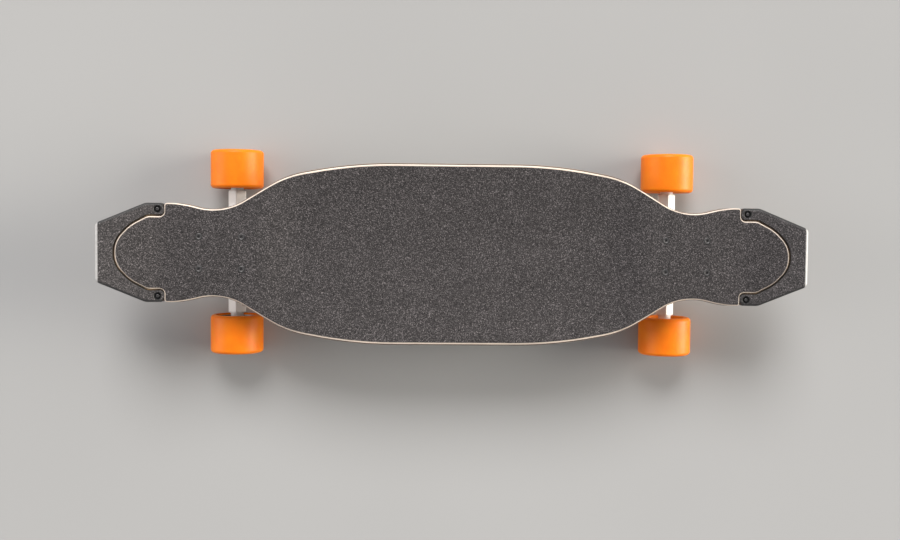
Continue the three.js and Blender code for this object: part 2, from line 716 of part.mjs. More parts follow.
function addTruck({ truck, side }) {
  const group = new THREE.Group();
  group.position.set(side * truckX, 0, flatUnderside);
  group.rotation.z = side > 0 ? 0 : Math.PI;
  board.add(group);
  const tilted = new THREE.Group();
  kingpinFrame.decompose(tilted.position, tilted.quaternion, tilted.scale);
  group.add(tilted);

  const motorised = side < 0;
  const rearFace = wheelCentreFromMiddle - wheelWidth / 2 + rearBossInsideWheel;
  const frontFace = wheelCentreFromMiddle - bearing.apart / 2 - bearing.width - gap;
  const bossFace = motorised ? rearFace : frontFace;
  piece(`${truck}_baseplate`, buildBaseplate(), "castWhite", group);
  piece(`${truck}_hanger`, buildHanger(bossFace), "castWhite", group);
  piece(`${truck}_pivot_cup`, buildPivotCup(), "rubber", tilted);
  piece(`${truck}_kingpin`, buildKingpin(), "steel", tilted);
  const ringFace = -hangerRing.thickness / 2 - gap;
  piece(`${truck}_upper_bushing`, bushing(ringFace - upperBushingHeight, ringFace), "bushing", tilted);
  const lowerBushing = bushing(lowerBushingTop, lowerBushingTop + lowerBushingHeight);
  piece(`${truck}_lower_bushing`, lowerBushing, "bushing", tilted);
  const washerBottom = washerTop + bushingWasher.thickness;
  const washer = ring(kingpinRadius + gap, bushingWasher.radius, washerTop, washerBottom);
  piece(`${truck}_bushing_washer`, washer, "steel", tilted);
  const nut = hexNut(kingpinHead.acrossCorners, kingpinRadius + gap, nutTop, nutTop + kingpinNutHeight);
  piece(`${truck}_kingpin_nut`, nut, "steel", tilted);

  const nutStart = wheelCentreFromMiddle + axleNutInside(motorised);
  const axleEnd = nutStart + axleNut.width + axleThreadPastNut;
  const axle = piece(`${truck}_axle`, acrossBoard(rod(axleRadius, -axleEnd, axleEnd)), "steel", group);
  axle.position.copy(axlePlace);
}

// ---------------------------------------------------------------- wheels
// A wheel is drawn with its axis on Y, its middle at the origin and its outer face to +Y.
function axleNutInside(motorised) {
  return motorised ? rotorHalfWidth - rotorNutPocket + gap : bearing.apart / 2 + bearing.width + gap;
}

function tyreProfile(innerRadius, faceRadius, innerHalfWidth) {
  const half = wheelWidth / 2;
  const outer = wheelDiameter / 2;
  const lipSteps = 2;
  const profile = [[innerRadius, -innerHalfWidth], [faceRadius, -half]];
  for (let i = 0; i <= lipSteps; i += 1) {
    const angle = (Math.PI / 2) * (i / lipSteps);
    profile.push([outer - wheelLip * (1 - Math.sin(angle)), -half + wheelLip * (1 - Math.cos(angle))]);
  }
  for (let i = lipSteps; i >= 0; i -= 1) {
    const angle = (Math.PI / 2) * (i / lipSteps);
    profile.push([outer - wheelLip * (1 - Math.sin(angle)), half - wheelLip * (1 - Math.cos(angle))]);
  }
  profile.push([faceRadius, half], [innerRadius, innerHalfWidth], [innerRadius, -innerHalfWidth]);
  return profile;
}

function buildCore() {
  const seat = bearing.outerRadius + gap;
  const stop = bearing.outerRadius - bearingStopHeight;
  const inner = bearing.apart / 2;
  return turned([
    [seat, -coreHalfWidth], [coreRadius, -coreHalfWidth], [coreRadius, coreHalfWidth], [seat, coreHalfWidth],
    [seat, inner - gap], [stop, inner - gap], [stop, gap - inner], [seat, gap - inner],
    [seat, -coreHalfWidth],
  ]);
}

function buildRotor() {
  const inner = rotorRadius - rotorWall;
  const plateFace = rotorHalfWidth - rotorEndPlate;
  const nutPocket = axleNut.acrossCorners / 2 + 2;
  const pocketFloor = rotorHalfWidth - rotorNutPocket;
  return turned([
    [inner, -rotorHalfWidth], [rotorRadius, -rotorHalfWidth], [rotorRadius, rotorHalfWidth],
    [nutPocket, rotorHalfWidth], [nutPocket, pocketFloor], [axleRadius + gap, pocketFloor],
    [axleRadius + gap, pocketFloor - rotorEndPlate], [nutPocket + 3, pocketFloor - rotorEndPlate],
    [nutPocket + 6, plateFace],
    [inner, plateFace], [inner, -rotorHalfWidth],
  ], motorRound);
}

function buildStator() {
  const outer = rotorRadius - rotorWall - statorAirGap;
  const bore = axleRadius + gap;
  const inner = -wheelWidth / 2 + rearBossInsideWheel + gap;
  const outerFace = rotorHalfWidth - rotorNutPocket - rotorEndPlate - 1;
  return turned([
    [bore, inner], [outer, inner], [outer, outerFace], [bore + 4, outerFace], [bore + 4, outerFace + 0.7],
    [bore, outerFace + 0.7], [bore, inner],
  ], motorRound);
}

function addWheel({ truck, side }, handed) {
  const group = new THREE.Group();
  group.position.set(side * (truckX - axleSetback), handed * wheelCentreFromMiddle, axleHeight);
  group.rotation.z = handed > 0 ? 0 : Math.PI;
  board.add(group);
  const name = `${truck}_${handed > 0 ? "left" : "right"}`;
  const nutStart = axleNutInside(side < 0);
  const nut = hexNut(axleNut.acrossCorners, axleRadius + gap, nutStart, nutStart + axleNut.width);
  piece(`${name}_axle_nut`, acrossBoard(nut), "steel", group);
  if (side < 0) {
    const sleeve = tyreProfile(rotorRadius + gap, rotorRadius + 2.5, rotorHalfWidth);
    piece(`${name}_motor_tyre`, acrossBoard(turned(sleeve, tyreRound)), "urethane", group);
    piece(`${name}_motor_rotor`, acrossBoard(buildRotor()), "motorCan", group);
    piece(`${name}_motor_stator`, acrossBoard(buildStator()), "copper", group);
    return;
  }
  const tyre = tyreProfile(coreRadius + gap, coreRadius + 7, coreHalfWidth);
  piece(`${name}_tyre`, acrossBoard(turned(tyre, tyreRound)), "urethane", group);
  piece(`${name}_wheel_core`, acrossBoard(buildCore()), "corePlastic", group);
  for (const [place, sign] of [["inner", -1], ["outer", 1]]) {
    const near = sign * bearing.apart / 2;
    const far = sign * (bearing.apart / 2 + bearing.width);
    const shape = ring(axleRadius + gap, bearing.outerRadius, Math.min(near, far), Math.max(near, far));
    piece(`${name}_${place}_bearing`, acrossBoard(shape), "steel", group);
  }
}

// ---------------------------------------------------------------- battery tray
const trayHalfLength = platformEnd - trayEndFromDrop;
const underDeck = -deckThickness - gap;
const trayTop = underDeck - gasketThickness - gap;
const trayBottom = flatTop - dropDepth - deckThickness - trayDepth;
const fittingHeight = trayBottom + fittingLevel * trayDepth;

const trayOutline = (grow) => roundedRectangle(
  trayHalfLength + grow,
  trayHalfWidth + grow,
  trayCornerRadius + grow,
);

// Turns a piece drawn along Z so that it points out of the tray's left wall.
function throughLeftWall(geometry, x, height) {
  return acrossBoard(geometry).translate(x, trayHalfWidth, height);
}

const buttonX = -trayHalfLength + powerButton.fromTrayEnd;
const socketX = -trayHalfLength + chargeSocket.fromTrayEnd;

function buildTray() {
  const topAt = (x, y) => deckTop(x, y) + trayTop;
  const tub = common(plate(topAt, () => trayBottom), allHeights(trayOutline(0)));
  const flangePlate = bentPlate(trayTop, trayTop - trayFlange.thickness);
  const flange = common(flangePlate, allHeights(trayOutline(trayFlange.width)));
  const hollow = prism(trayOutline(-trayWall), trayBottom + trayWall, high);
  const hole = (radius) => rod(radius + gap, -4 * trayWall, 4 * trayWall);
  const buttonHole = throughLeftWall(hole(powerButton.radius), buttonX, fittingHeight);
  const socketHole = throughLeftWall(hole(chargeSocket.radius), socketX, fittingHeight);
  const leadHole = hole(leadGland.radius).rotateY(Math.PI / 2).translate(-trayHalfLength, 0, fittingHeight);
  return cut(join(tub, flange), hollow, buttonHole, socketHole, leadHole);
}

function buildGasket() {
  const plateUnderDeck = bentPlate(underDeck, underDeck - gasketThickness);
  const sheet = common(plateUnderDeck, allHeights(trayOutline(trayFlange.width)));
  return cut(sheet, allHeights(trayOutline(-trayWall)));
}

function buildPowerButton() {
  const { radius, proud, flangeRadius, flangeThickness } = powerButton;
  const flangeFace = -trayWall - gap;
  return turned([
    [0, flangeFace - flangeThickness], [flangeRadius, flangeFace - flangeThickness],
    [flangeRadius, flangeFace], [radius, flangeFace],
    [radius, proud - 0.6], [radius - 0.6, proud], [0, proud],
  ]);
}

function buildChargeSocket() {
  const { radius, rimRadius, rimThickness, boreRadius, depth } = chargeSocket;
  const rim = gap + rimThickness;
  const pinRadius = 1;
  return turned([
    [0, rim - depth - 2], [radius, rim - depth - 2], [radius, gap], [rimRadius, gap], [rimRadius, rim],
    [boreRadius, rim], [boreRadius, rim - depth],
    [pinRadius, rim - depth], [pinRadius, rim - 2], [0, rim - 2],
  ]);
}

// A flap on a small barrel above the socket. Its origin is on the barrel's axis.
function buildPortCover() {
  const { radius, thickness, hingeRadius, hingeAbove, tabWidth, barrelLength } = portCover;
  const disc = acrossBoard(rod(radius, 0, thickness)).translate(0, 0, -hingeAbove);
  const tab = new THREE.BoxGeometry(tabWidth, thickness, hingeAbove);
  tab.translate(0, thickness / 2, -hingeAbove / 2);
  const barrel = rod(hingeRadius, -barrelLength / 2, barrelLength / 2, fastenerRound)
    .rotateY(Math.PI / 2)
    .translate(0, thickness / 2, 0);
  return join(disc, tab, barrel);
}

function buildLeadGland() {
  const { radius, hexAcrossCorners, hexThickness, boreRadius, capHeight, capTaper } = leadGland;
  const inside = -trayWall - 5;
  const capEdge = hexThickness + capHeight;
  const body = turned([
    [0, inside], [radius, inside], [radius, capEdge],
    [boreRadius + 1.5, capEdge + capTaper], [0, capEdge + capTaper],
  ]);
  const hex = prism(hexagon(hexAcrossCorners), gap, hexThickness);
  return cut(join(body, hex), rod(boreRadius, -clear, clear));
}

function addTray() {
  piece("battery_tray", buildTray(), "trayPlastic");
  piece("tray_gasket", buildGasket(), "rubber");

  const floor = trayBottom + trayWall + gap;
  const innerHalfLength = trayHalfLength - trayWall;
  const batteryLength = 2 * innerHalfLength - controller.length - 3 * packSpacing;
  const batteryX = innerHalfLength - packSpacing - batteryLength / 2;
  const controllerX = -innerHalfLength + packSpacing + controller.length / 2;
  const packOutline = roundedRectangle(batteryLength / 2, batteryWidth / 2, batteryCornerRadius);
  const pack = prism(packOutline, floor, floor + batteryHeight).translate(batteryX, 0, 0);
  piece("battery_pack", pack, "battery");
  const boxOutline = roundedRectangle(controller.length / 2, controller.width / 2, controller.cornerRadius);
  const box = prism(boxOutline, floor, floor + controller.height).translate(controllerX, 0, 0);
  piece("motor_controller", box, "circuit");

  piece("power_button", throughLeftWall(buildPowerButton(), buttonX, fittingHeight), "rubber");
  piece("charge_socket", throughLeftWall(buildChargeSocket(), socketX, fittingHeight), "blackSteel");
  const cover = piece("charge_port_cover", buildPortCover(), "rubber");
  const coverFace = trayHalfWidth + 2 * gap + chargeSocket.rimThickness;
  cover.position.set(socketX, coverFace, fittingHeight + portCover.hingeAbove);
  const gland = piece("motor_lead_gland", buildLeadGland().rotateY(-Math.PI / 2), "rubber");
  gland.position.set(-trayHalfLength, 0, fittingHeight);
}

// ---------------------------------------------------------------- the whole board
addDeck();
addTray();
for (const place of ends) {
  addTruck(place);
  addWheel(place, 1);
  addWheel(place, -1);
}

export default board;
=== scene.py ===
"""Looks of an electric skateboard: a gripped maple deck with bolted end bumpers, two white trucks,
orange wheels with hub motors in the rear pair, and a battery tray below the deck.
Sizes are in millimetres in the CAD frame, and meshes are made in metres."""

import json
import math

import bmesh
import bpy
from mathutils import Matrix, Vector


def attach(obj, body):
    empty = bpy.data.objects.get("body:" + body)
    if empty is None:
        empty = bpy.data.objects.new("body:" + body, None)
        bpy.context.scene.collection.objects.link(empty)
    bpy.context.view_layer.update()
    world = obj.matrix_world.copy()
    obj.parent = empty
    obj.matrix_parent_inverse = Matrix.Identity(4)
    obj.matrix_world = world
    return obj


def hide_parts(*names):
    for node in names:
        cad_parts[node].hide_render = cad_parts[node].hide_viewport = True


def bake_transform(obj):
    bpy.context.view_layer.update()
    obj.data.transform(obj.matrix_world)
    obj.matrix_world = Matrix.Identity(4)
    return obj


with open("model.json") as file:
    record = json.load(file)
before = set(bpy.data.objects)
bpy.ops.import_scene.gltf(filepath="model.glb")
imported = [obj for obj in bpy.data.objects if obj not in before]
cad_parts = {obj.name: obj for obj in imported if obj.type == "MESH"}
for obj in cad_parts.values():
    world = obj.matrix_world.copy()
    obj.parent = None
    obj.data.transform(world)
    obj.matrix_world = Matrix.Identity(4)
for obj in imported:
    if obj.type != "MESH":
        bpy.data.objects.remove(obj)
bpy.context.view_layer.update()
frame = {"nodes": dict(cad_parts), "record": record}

MM = 0.001

# ---------------------------------------------------------------- sizes shared with the CAD part
HALF_LENGTH = 453.0
HALF_WIDTH = 117.0
THICKNESS = 12.0
FLAT_TOP = 109.0
FLAT_UNDERSIDE = FLAT_TOP - THICKNESS
DROP_DEPTH = 10.0
DROP_START = 258.0
DROP_RUN = 64.0
CONCAVE_RISE = 10.0
KICK_START = 365.0
KICK_RADIUS = 90.0
KICK_ANGLE = math.radians(14)
GRIP_TOP = 1.15
SEAM_X = HALF_LENGTH - 82.4
NECK_Y = 63.3
TONGUE_HALF_WIDTH = 46.3
TONGUE_TIP_X = HALF_LENGTH - 23
TONGUE = [
    (HALF_LENGTH - 62, TONGUE_HALF_WIDTH, 12.0),
    (HALF_LENGTH - 41, 34.5, 50.0),
    (TONGUE_TIP_X, 14.2, 35.0),
]
BUMPER_SEAM = 2.0
BUMPER_COVER = 6.0
BUMPER_SKIRT = 3.0
BUMPER_SHOULDER_X = HALF_LENGTH - 59
BUMPER_CORNER_Y = 37.0
BUMPER_SCREW = (HALF_LENGTH - 74, 55.5)
TRUCK_X = 300.0
BOLT_GRID = [(x, y) for x in (-27.0, 27.0) for y in (-20.65, 20.65)]
BOLT_HEAD_RADIUS = 4.7
AXLE_X = 290.0
AXLE_Z = 35.0
AXLE_RADIUS = 4.0
AXLE_TO_RING = 29.0
AXLE_OFFSET = 14.0
WHEEL_Y = 110.0
WHEEL_RADIUS = 35.0
WHEEL_HALF_WIDTH = 25.5
STEER_ANGLE = math.radians(42)
BUSHING_LEVELS = {"upper": (-19.8, -4.8), "lower": (4.8, 17.8)}
WASHER_LEVEL = 18.1
KINGPIN_NUT_LEVEL = 20.4
BOLT_NUT_TOP = FLAT_UNDERSIDE - 6.35
FRONT_NUT_START = 12.3
REAR_NUT_START = 16.3
AXLE_PAST_NUT_START = 8.5
ROTOR_SCREW_RING = 17.8
TRAY_HALF_LENGTH = 174.0
TRAY_HALF_WIDTH = 74.0
TRAY_CORNER = 22.0
TRAY_BOTTOM = 54.0
TRAY_WALL = 3.0
TRAY_TOP = -14.1
FLANGE_WIDTH = 10.0
FLANGE_THICKNESS = 3
TRAY_SCREW_OUT = 5.0
FITTING_Z = 68.85
BUTTON_X = -122.0
SOCKET_X = -84.0
GAP = 0.3
TRUCKS = (("front", 1), ("rear", -1))
HANDS = (("left", 1), ("right", -1))

# ---------------------------------------------------------------- edges of the deck and bumpers
SIDE_RADIUS = 4.0
NECK_RADIUS = 2.8
SEAM_RADIUS = 1.1
SEAM_UNDER_RADIUS = 2.0
SIDE_BARE = 3.7
NECK_BARE = 2.3
SEAM_BARE = 1.5
NECK_RIM_X, NECK_RIM_RUN = 190, 60
SEAM_RIM_X, SEAM_RIM_RUN = 345, 18
BUMPER_EDGE = 4.2
BUMPER_INNER_EDGE = 1.0
BUMPER_FOOT = 0.8
SPINE_START = 330.0
SPINE_TIP = 8


# ---------------------------------------------------------------- places
def shift(x, y, z):
    return Matrix.Translation((x, y, z))


def turn(degrees, axis):
    return Matrix.Rotation(math.radians(degrees), 4, axis)


# ---------------------------------------------------------------- meshes
def add_object(name, mesh):
    obj = bpy.data.objects.new(name, mesh)
    bpy.context.scene.collection.objects.link(obj)
    return obj


def finish_mesh(mesh, sharp_angle):
    """Closes the mesh up, turns its faces outwards, and shades it smooth up to the given angle."""
    work = bmesh.new()
    work.from_mesh(mesh)
    bmesh.ops.remove_doubles(work, verts=work.verts, dist=2e-6)
    bmesh.ops.dissolve_degenerate(work, edges=work.edges, dist=1e-7)
    bmesh.ops.recalc_face_normals(work, faces=work.faces)
    work.to_mesh(mesh)
    work.free()
    mesh.shade_smooth()
    mesh.set_sharp_from_angle(angle=math.radians(sharp_angle))


def mesh_object(name, points, faces, sharp_angle=38):
    mesh = bpy.data.meshes.new(name)
    mesh.from_pydata([tuple(c * MM for c in p) for p in points], [], faces)
    finish_mesh(mesh, sharp_angle)
    return add_object(name, mesh)


def skin(name, columns, sharp_angle=38, closed=True):
    """A surface through columns of points. Neighbouring columns are joined row by row."""
    rows = len(columns[0])
    points = [p for column in columns for p in column]
    count = len(columns)
    faces = []
    for i in range(count if closed else count - 1):
        a, b = i * rows, ((i + 1) % count) * rows
        faces += [(a + r, a + r + 1, b + r + 1, b + r) for r in range(rows - 1)]
    return mesh_object(name, points, faces, sharp_angle)


def turned(name, profile, segments=96, sharp_angle=38):
    """A piece turned about Z from [radius, z] points. A profile off the axis closes on itself."""
    if profile[0][0] > 0:
        profile = profile + [profile[0]]
    columns = []
    for i in range(segments):
        angle = 2 * math.pi * i / segments
        columns.append([(r * math.cos(angle), r * math.sin(angle), z) for r, z in profile])
    return skin(name, columns, sharp_angle)


def rod(name, radius, low, high, segments):
    """A plain round rod along Z."""
    return turned(name, [(0, low), (radius, low), (radius, high), (0, high)], segments)


def arc(centre, radius, start, end, steps=8):
    """Points [radius, z] on an arc between two angles in degrees."""
    points = []
    for i in range(steps + 1):
        angle = math.radians(start + (end - start) * i / steps)
        points.append((centre[0] + radius * math.cos(angle), centre[1] + radius * math.sin(angle)))
    return points


def prism(name, outline, low, high, sharp_angle=38):
    count = len(outline)
    points = [(x, y, low) for x, y in outline] + [(x, y, high) for x, y in outline]
    faces = [tuple(range(count)), tuple(range(count, 2 * count))]
    faces += [(i, (i + 1) % count, count + (i + 1) % count, count + i) for i in range(count)]
    return mesh_object(name, points, faces, sharp_angle)


def hexagon(across_corners):
    radius = across_corners / 2
    corners = [math.radians(60 * i) for i in range(6)]
    return [(radius * math.cos(a), radius * math.sin(a)) for a in corners]


def place(obj, matrix):
    """Moves the object's points by a matrix in millimetres, so its origin stays the frame's."""
    scaled = matrix.copy()
    scaled.translation = matrix.translation * MM
    obj.data.transform(scaled)
    return obj


def copy_of(obj, name):
    return add_object(name, obj.data.copy())


def combine(obj, others, operation):
    """Joins, cuts or intersects the object with others, which are used up."""
    for other in others:
        modifier = obj.modifiers.new("combine", "BOOLEAN")
        modifier.operation = operation
        modifier.solver = "EXACT"
        modifier.object = other
        apply_modifiers(obj)
        bpy.data.objects.remove(other)
    return obj


def apply_modifiers(obj):
    bpy.context.view_layer.update()
    evaluated = obj.evaluated_get(bpy.context.evaluated_depsgraph_get())
    mesh = bpy.data.meshes.new_from_object(evaluated)
    obj.modifiers.clear()
    obj.data = mesh


def shade(obj, sharp_angle=38):
    finish_mesh(obj.data, sharp_angle)
    return obj


def drilled(obj, holes):
    """The object with holes cut in it that don't touch each other."""
    return shade(combine(obj, [merged("holes", holes)], "DIFFERENCE"))


def ring(count, radius, make):
    """Pieces that are made one by one and set round the Z axis, the first of them on +X."""
    pieces = []
    for i in range(count):
        pieces.append(place(make(), turn(360 * i / count, "Z") @ shift(radius, 0, 0)))
    return pieces


def soften(obj, width, segments=3, angle=30):
    """Rounds the object's edges over."""
    modifier = obj.modifiers.new("soften", "BEVEL")
    modifier.width = width * MM
    modifier.segments = segments
    modifier.limit_method = "ANGLE"
    modifier.angle_limit = math.radians(angle)
    modifier.use_clamp_overlap = True
    apply_modifiers(obj)
    return shade(obj, 50)


def merged(name, objects):
    """One object made of several closed shells that don't touch."""
    work = bmesh.new()
    for obj in objects:
        work.from_mesh(obj.data)
    mesh = bpy.data.meshes.new(name)
    work.to_mesh(mesh)
    work.free()
    for obj in objects:
        bpy.data.objects.remove(obj)
    finish_mesh(mesh, 38)
    return add_object(name, mesh)


# ---------------------------------------------------------------- outlines
def rounded_corner(before, corner, after, sag=0.01):
    """The arc that replaces a corner (x, y, radius)."""
    x, y, radius = corner
    if radius == 0:
        return [(x, y)]
    back = Vector((before[0] - x, before[1] - y)).normalized()
    ahead = Vector((after[0] - x, after[1] - y)).normalized()
    bend = math.pi - back.angle(ahead)
    start = back * radius * math.tan(bend / 2)
    to_centre = (back + ahead).normalized() * radius / math.cos(bend / 2)
    spoke = start - to_centre
    direction = math.copysign(1, back.x * ahead.y - back.y * ahead.x)
    steps = max(4, math.ceil(bend / (2 * math.acos(1 - sag / radius))))
    points = []
    for i in range(steps + 1):
        arm = spoke.copy()
        arm.rotate(Matrix.Rotation(-direction * bend * i / steps, 2))
        points.append((x + to_centre.x + arm.x, y + to_centre.y + arm.y))
    return points


def rounded_path(corners):
    """An open path with rounded corners. Its two ends are plain points."""
    points = [corners[0][:2]]
    for before, corner, after in zip(corners, corners[1:], corners[2:]):
        points += rounded_corner(before, corner, after)
    points.append(corners[-1][:2])
    return points


def distances(points):
    total = [0.0]
    for a, b in zip(points, points[1:]):
        total.append(total[-1] + math.dist(a, b))
    return total


def resampled(points, count):
    """The same path through evenly spaced points."""
    along = distances(points)
    result = []
    k = 0
    for i in range(count):
        want = along[-1] * i / (count - 1)
        while k < len(points) - 2 and along[k + 1] < want:
            k += 1
        span = along[k + 1] - along[k]
        t = (want - along[k]) / span if span else 0.0
        a, b = points[k], points[k + 1]
        result.append((a[0] + (b[0] - a[0]) * t, a[1] + (b[1] - a[1]) * t))
    return result


def spaced(points, step):
    return resampled(points, max(2, round(distances(points)[-1] / step) + 1))


def outward_normals(points, first, last):
    """Unit normals on the left-hand side of a path, with the two ends' normals given."""
    normals = [Vector(first)]
    for before, after in zip(points, points[2:]):
        along = Vector((after[0] - before[0], after[1] - before[1])).normalized()
        normals.append(Vector((-along.y, along.x)))
    normals.append(Vector(last))
    return normals


def moved(point, normal, distance):
    return (point[0] + normal[0] * distance, point[1] + normal[1] * distance)


def between(a, b, t):
    return tuple(p + (q - p) * t for p, q in zip(a, b))


def smooth(t):
    t = min(1.0, max(0.0, t))
    return t * t * (3 - 2 * t)


# ---------------------------------------------------------------- the deck's bent surface
def kick_rise(distance):
    """How far an end of the deck has risen at a distance past the start of its upturn."""
    bend = KICK_RADIUS * math.sin(KICK_ANGLE)
    if distance <= 0:
        return 0.0
    if distance <= bend:
        return KICK_RADIUS - math.sqrt(KICK_RADIUS**2 - distance**2)
    return KICK_RADIUS * (1 - math.cos(KICK_ANGLE)) + (distance - bend) * math.tan(KICK_ANGLE)


def deck_top(x, y):
    """The height of the deck's top face: dropped and dished in the middle, upturned at the ends."""
    dropped = smooth((DROP_START - abs(x)) / DROP_RUN)
    concave = CONCAVE_RISE * dropped * (y / HALF_WIDTH) ** 2
    return FLAT_TOP - DROP_DEPTH * dropped + concave + kick_rise(abs(x) - KICK_START)


def on_deck(point, above):
    return (point[0], point[1], deck_top(*point) + above)


def rounded_top(point, normal, radius, top, steps):
    """The rounding from a face at a height above the deck down to its side."""
    points = []
    for step in range(steps + 1):
        angle = math.pi / 2 * step / steps
        spot = moved(point, normal, -radius * (1 - math.sin(angle)))
        points.append(on_deck(spot, top - radius * (1 - math.cos(angle))))
    return points


def rounded_bottom(point, normal, radius, bottom, steps):
    """The rounding from a side to the face below it."""
    points = []
    for step in range(steps + 1):
        angle = math.pi / 2 * step / steps
        spot = moved(point, normal, -radius * (1 - math.cos(angle)))
        points.append(on_deck(spot, bottom + radius * (1 - math.sin(angle))))
    return points


def deck_frame(x, y):
    """A frame on the deck's top face with Z square to it."""
    step = 0.5
    slope_x = (deck_top(x + step, y) - deck_top(x - step, y)) / (2 * step)
    slope_y = (deck_top(x, y + step) - deck_top(x, y - step)) / (2 * step)
    tilt = Vector((-slope_x, -slope_y, 1)).to_track_quat("Z", "Y").to_matrix().to_4x4()
    return shift(x, y, deck_top(x, y)) @ tilt


def four_quarters(columns):
    """Repeats a quarter's columns round the whole board, from the middle of its left side."""
    def mirrored(cols, sx, sy):
        return [[(sx * x, sy * y, z) for x, y, z in column] for column in cols]

    nose = columns + mirrored(columns, 1, -1)[::-1]
    tail = mirrored(columns, -1, -1) + mirrored(columns, -1, 1)[::-1]
    return nose + tail


# ---------------------------------------------------------------- deck and grip
DECK_SIDE = [
    (0.0, HALF_WIDTH),
    (HALF_LENGTH - 326, HALF_WIDTH, 570),
    (HALF_LENGTH - 238.5, HALF_WIDTH - 15.5, 123),
    (HALF_LENGTH - 156.5, 51.0, 75),
    (HALF_LENGTH - 106, NECK_Y, 99),
]
SEAM_CORNER = 3.5
TONGUE_ROOT = 6.0


def tongue_path(start_x, margin):
    """The tongue's outline on the +Y side from start_x to its tip, grown by a margin."""
    path = [(start_x, TONGUE_HALF_WIDTH)] + TONGUE + [(TONGUE_TIP_X, 0.0)]
    corners = []
    for before, (x, y, radius), after in zip(path, path[1:], path[2:]):
        first = Vector((before[1] - y, x - before[0])).normalized()
        second = Vector((y - after[1], after[0] - x)).normalized()
        grown = (first + second) * margin / (1 + first.dot(second))
        corners.append((x + grown.x, y + grown.y, radius + margin))
    return [(start_x, TONGUE_HALF_WIDTH + margin)] + corners + [(TONGUE_TIP_X + margin, 0.0)]


def deck_quarter():
    """Upper and lower outlines of a quarter of the deck, paired point by point.
    They part at the seam: the upper one follows the tongue, the lower one the bumper's ledge."""
    seam = (SEAM_X, NECK_Y, SEAM_CORNER)
    root = (SEAM_X, TONGUE_HALF_WIDTH, TONGUE_ROOT)
    upper = rounded_path(DECK_SIDE + [seam, root] + tongue_path(SEAM_X, 0)[1:])
    ledge_y = NECK_Y - BUMPER_SKIRT - GAP
    shoulder_x = BUMPER_SHOULDER_X
    angled = Vector((HALF_LENGTH - shoulder_x, BUMPER_CORNER_Y - NECK_Y)).normalized()
    inner = BUMPER_SKIRT + GAP
    slope = angled.y / angled.x
    end_x = HALF_LENGTH - inner
    along_y = NECK_Y + (end_x - shoulder_x) * slope - inner / angled.x
    turn_x = shoulder_x + (NECK_Y - inner / angled.x - ledge_y) / -slope
    start = next(i for i, p in enumerate(upper) if p[0] > SEAM_X - 0.01)
    shared = spaced(upper[:start], 2.0)
    corner = upper[start]
    lower_tail = rounded_path([
        corner, (SEAM_X, ledge_y, 0.2), (turn_x, ledge_y, 12), (end_x, along_y, 3), (end_x, 0.0),
    ])
    count = 90
    upper_tail = resampled(upper[start:], count)
    lower_tail = resampled(lower_tail, count)
    return shared + upper_tail, shared + lower_tail, len(shared)


def spine_of(outline):
    """For each outline point, the point on the middle line that its rows run to."""
    along = distances(outline)
    start = next(i for i, p in enumerate(outline) if p[0] >= SPINE_START)
    tip_x = outline[-1][0] - SPINE_TIP
    spine = []
    for i, point in enumerate(outline):
        if i <= start:
            spine.append((point[0], 0.0))
        else:
            t = (along[i] - along[start]) / (along[-1] - along[start])
            spine.append((outline[start][0] + (tip_x - outline[start][0]) * t, 0.0))
    return spine


def rim_size(x, side, neck, seam):
    """A size that goes from its value on the deck's wide sides to its value on the narrow neck,
    and on to its value at the seam."""
    at_neck = side + (neck - side) * smooth((x - NECK_RIM_X) / NECK_RIM_RUN)
    return at_neck + (seam - at_neck) * smooth((x - SEAM_RIM_X) / SEAM_RIM_RUN)


def build_deck():
    """The laminated board, with rounded edges and a ledge under each bumper."""
    upper, lower, parting = deck_quarter()
    upper_normals = outward_normals(upper, (0, 1), (1, 0))
    lower_normals = outward_normals(lower, (0, 1), (1, 0))
    upper_spine = spine_of(upper)
    lower_spine = spine_of(lower)
    columns = []
    for i in range(len(upper)):
        x = upper[i][0]
        radius = rim_size(x, SIDE_RADIUS, NECK_RADIUS, SEAM_RADIUS) if i < parting else SEAM_RADIUS
        low_radius = SEAM_UNDER_RADIUS
        if i < parting:
            low_radius = rim_size(x, SIDE_RADIUS, NECK_RADIUS, SEAM_UNDER_RADIUS)
        edge = moved(upper[i], upper_normals[i], -radius)
        column = [on_deck(between(upper_spine[i], edge, t / 8), 0) for t in range(8)]
        column += rounded_top(upper[i], upper_normals[i], radius, 0, 6)
        for t in (0, 0.5, 1):
            column.append(on_deck(between(upper[i], lower[i], t), -BUMPER_COVER))
        column += rounded_bottom(lower[i], lower_normals[i], low_radius, -THICKNESS, 6)
        edge = moved(lower[i], lower_normals[i], -low_radius)
        column += [on_deck(between(edge, lower_spine[i], t / 8), -THICKNESS) for t in range(1, 9)]
        columns.append(column)
    deck = skin("deck_laminate", four_quarters(columns))
    seat = [(0, -16), (2.75, -16), (2.75, -2.4), (4.85, -0.1), (4.85, 3), (0, 3)]
    holes = bolt_cutters(seat)
    for side in (-1, 1):
        for sign in (-1, 1):
            hole = rod("hole", 2.3, -20, 3, 32)
            holes.append(place(hole, bumper_screw_frame(side, sign)))
    return drilled(deck, holes)


def bumper_screw_frame(side, sign):
    """The frame on the deck's top face at one of the four bumper screws."""
    return deck_frame(side * BUMPER_SCREW[0], sign * BUMPER_SCREW[1])


def bolt_cutters(profile):
    """One turned cutter in each truck bolt's place, with its origin on the deck's top face."""
    cutters = []
    for side in (-1, 1):
        for x, y in BOLT_GRID:
            cutter = turned("cutter", profile, 40)
            cutters.append(place(cutter, shift(side * TRUCK_X + x, y, FLAT_TOP)))
    return cutters


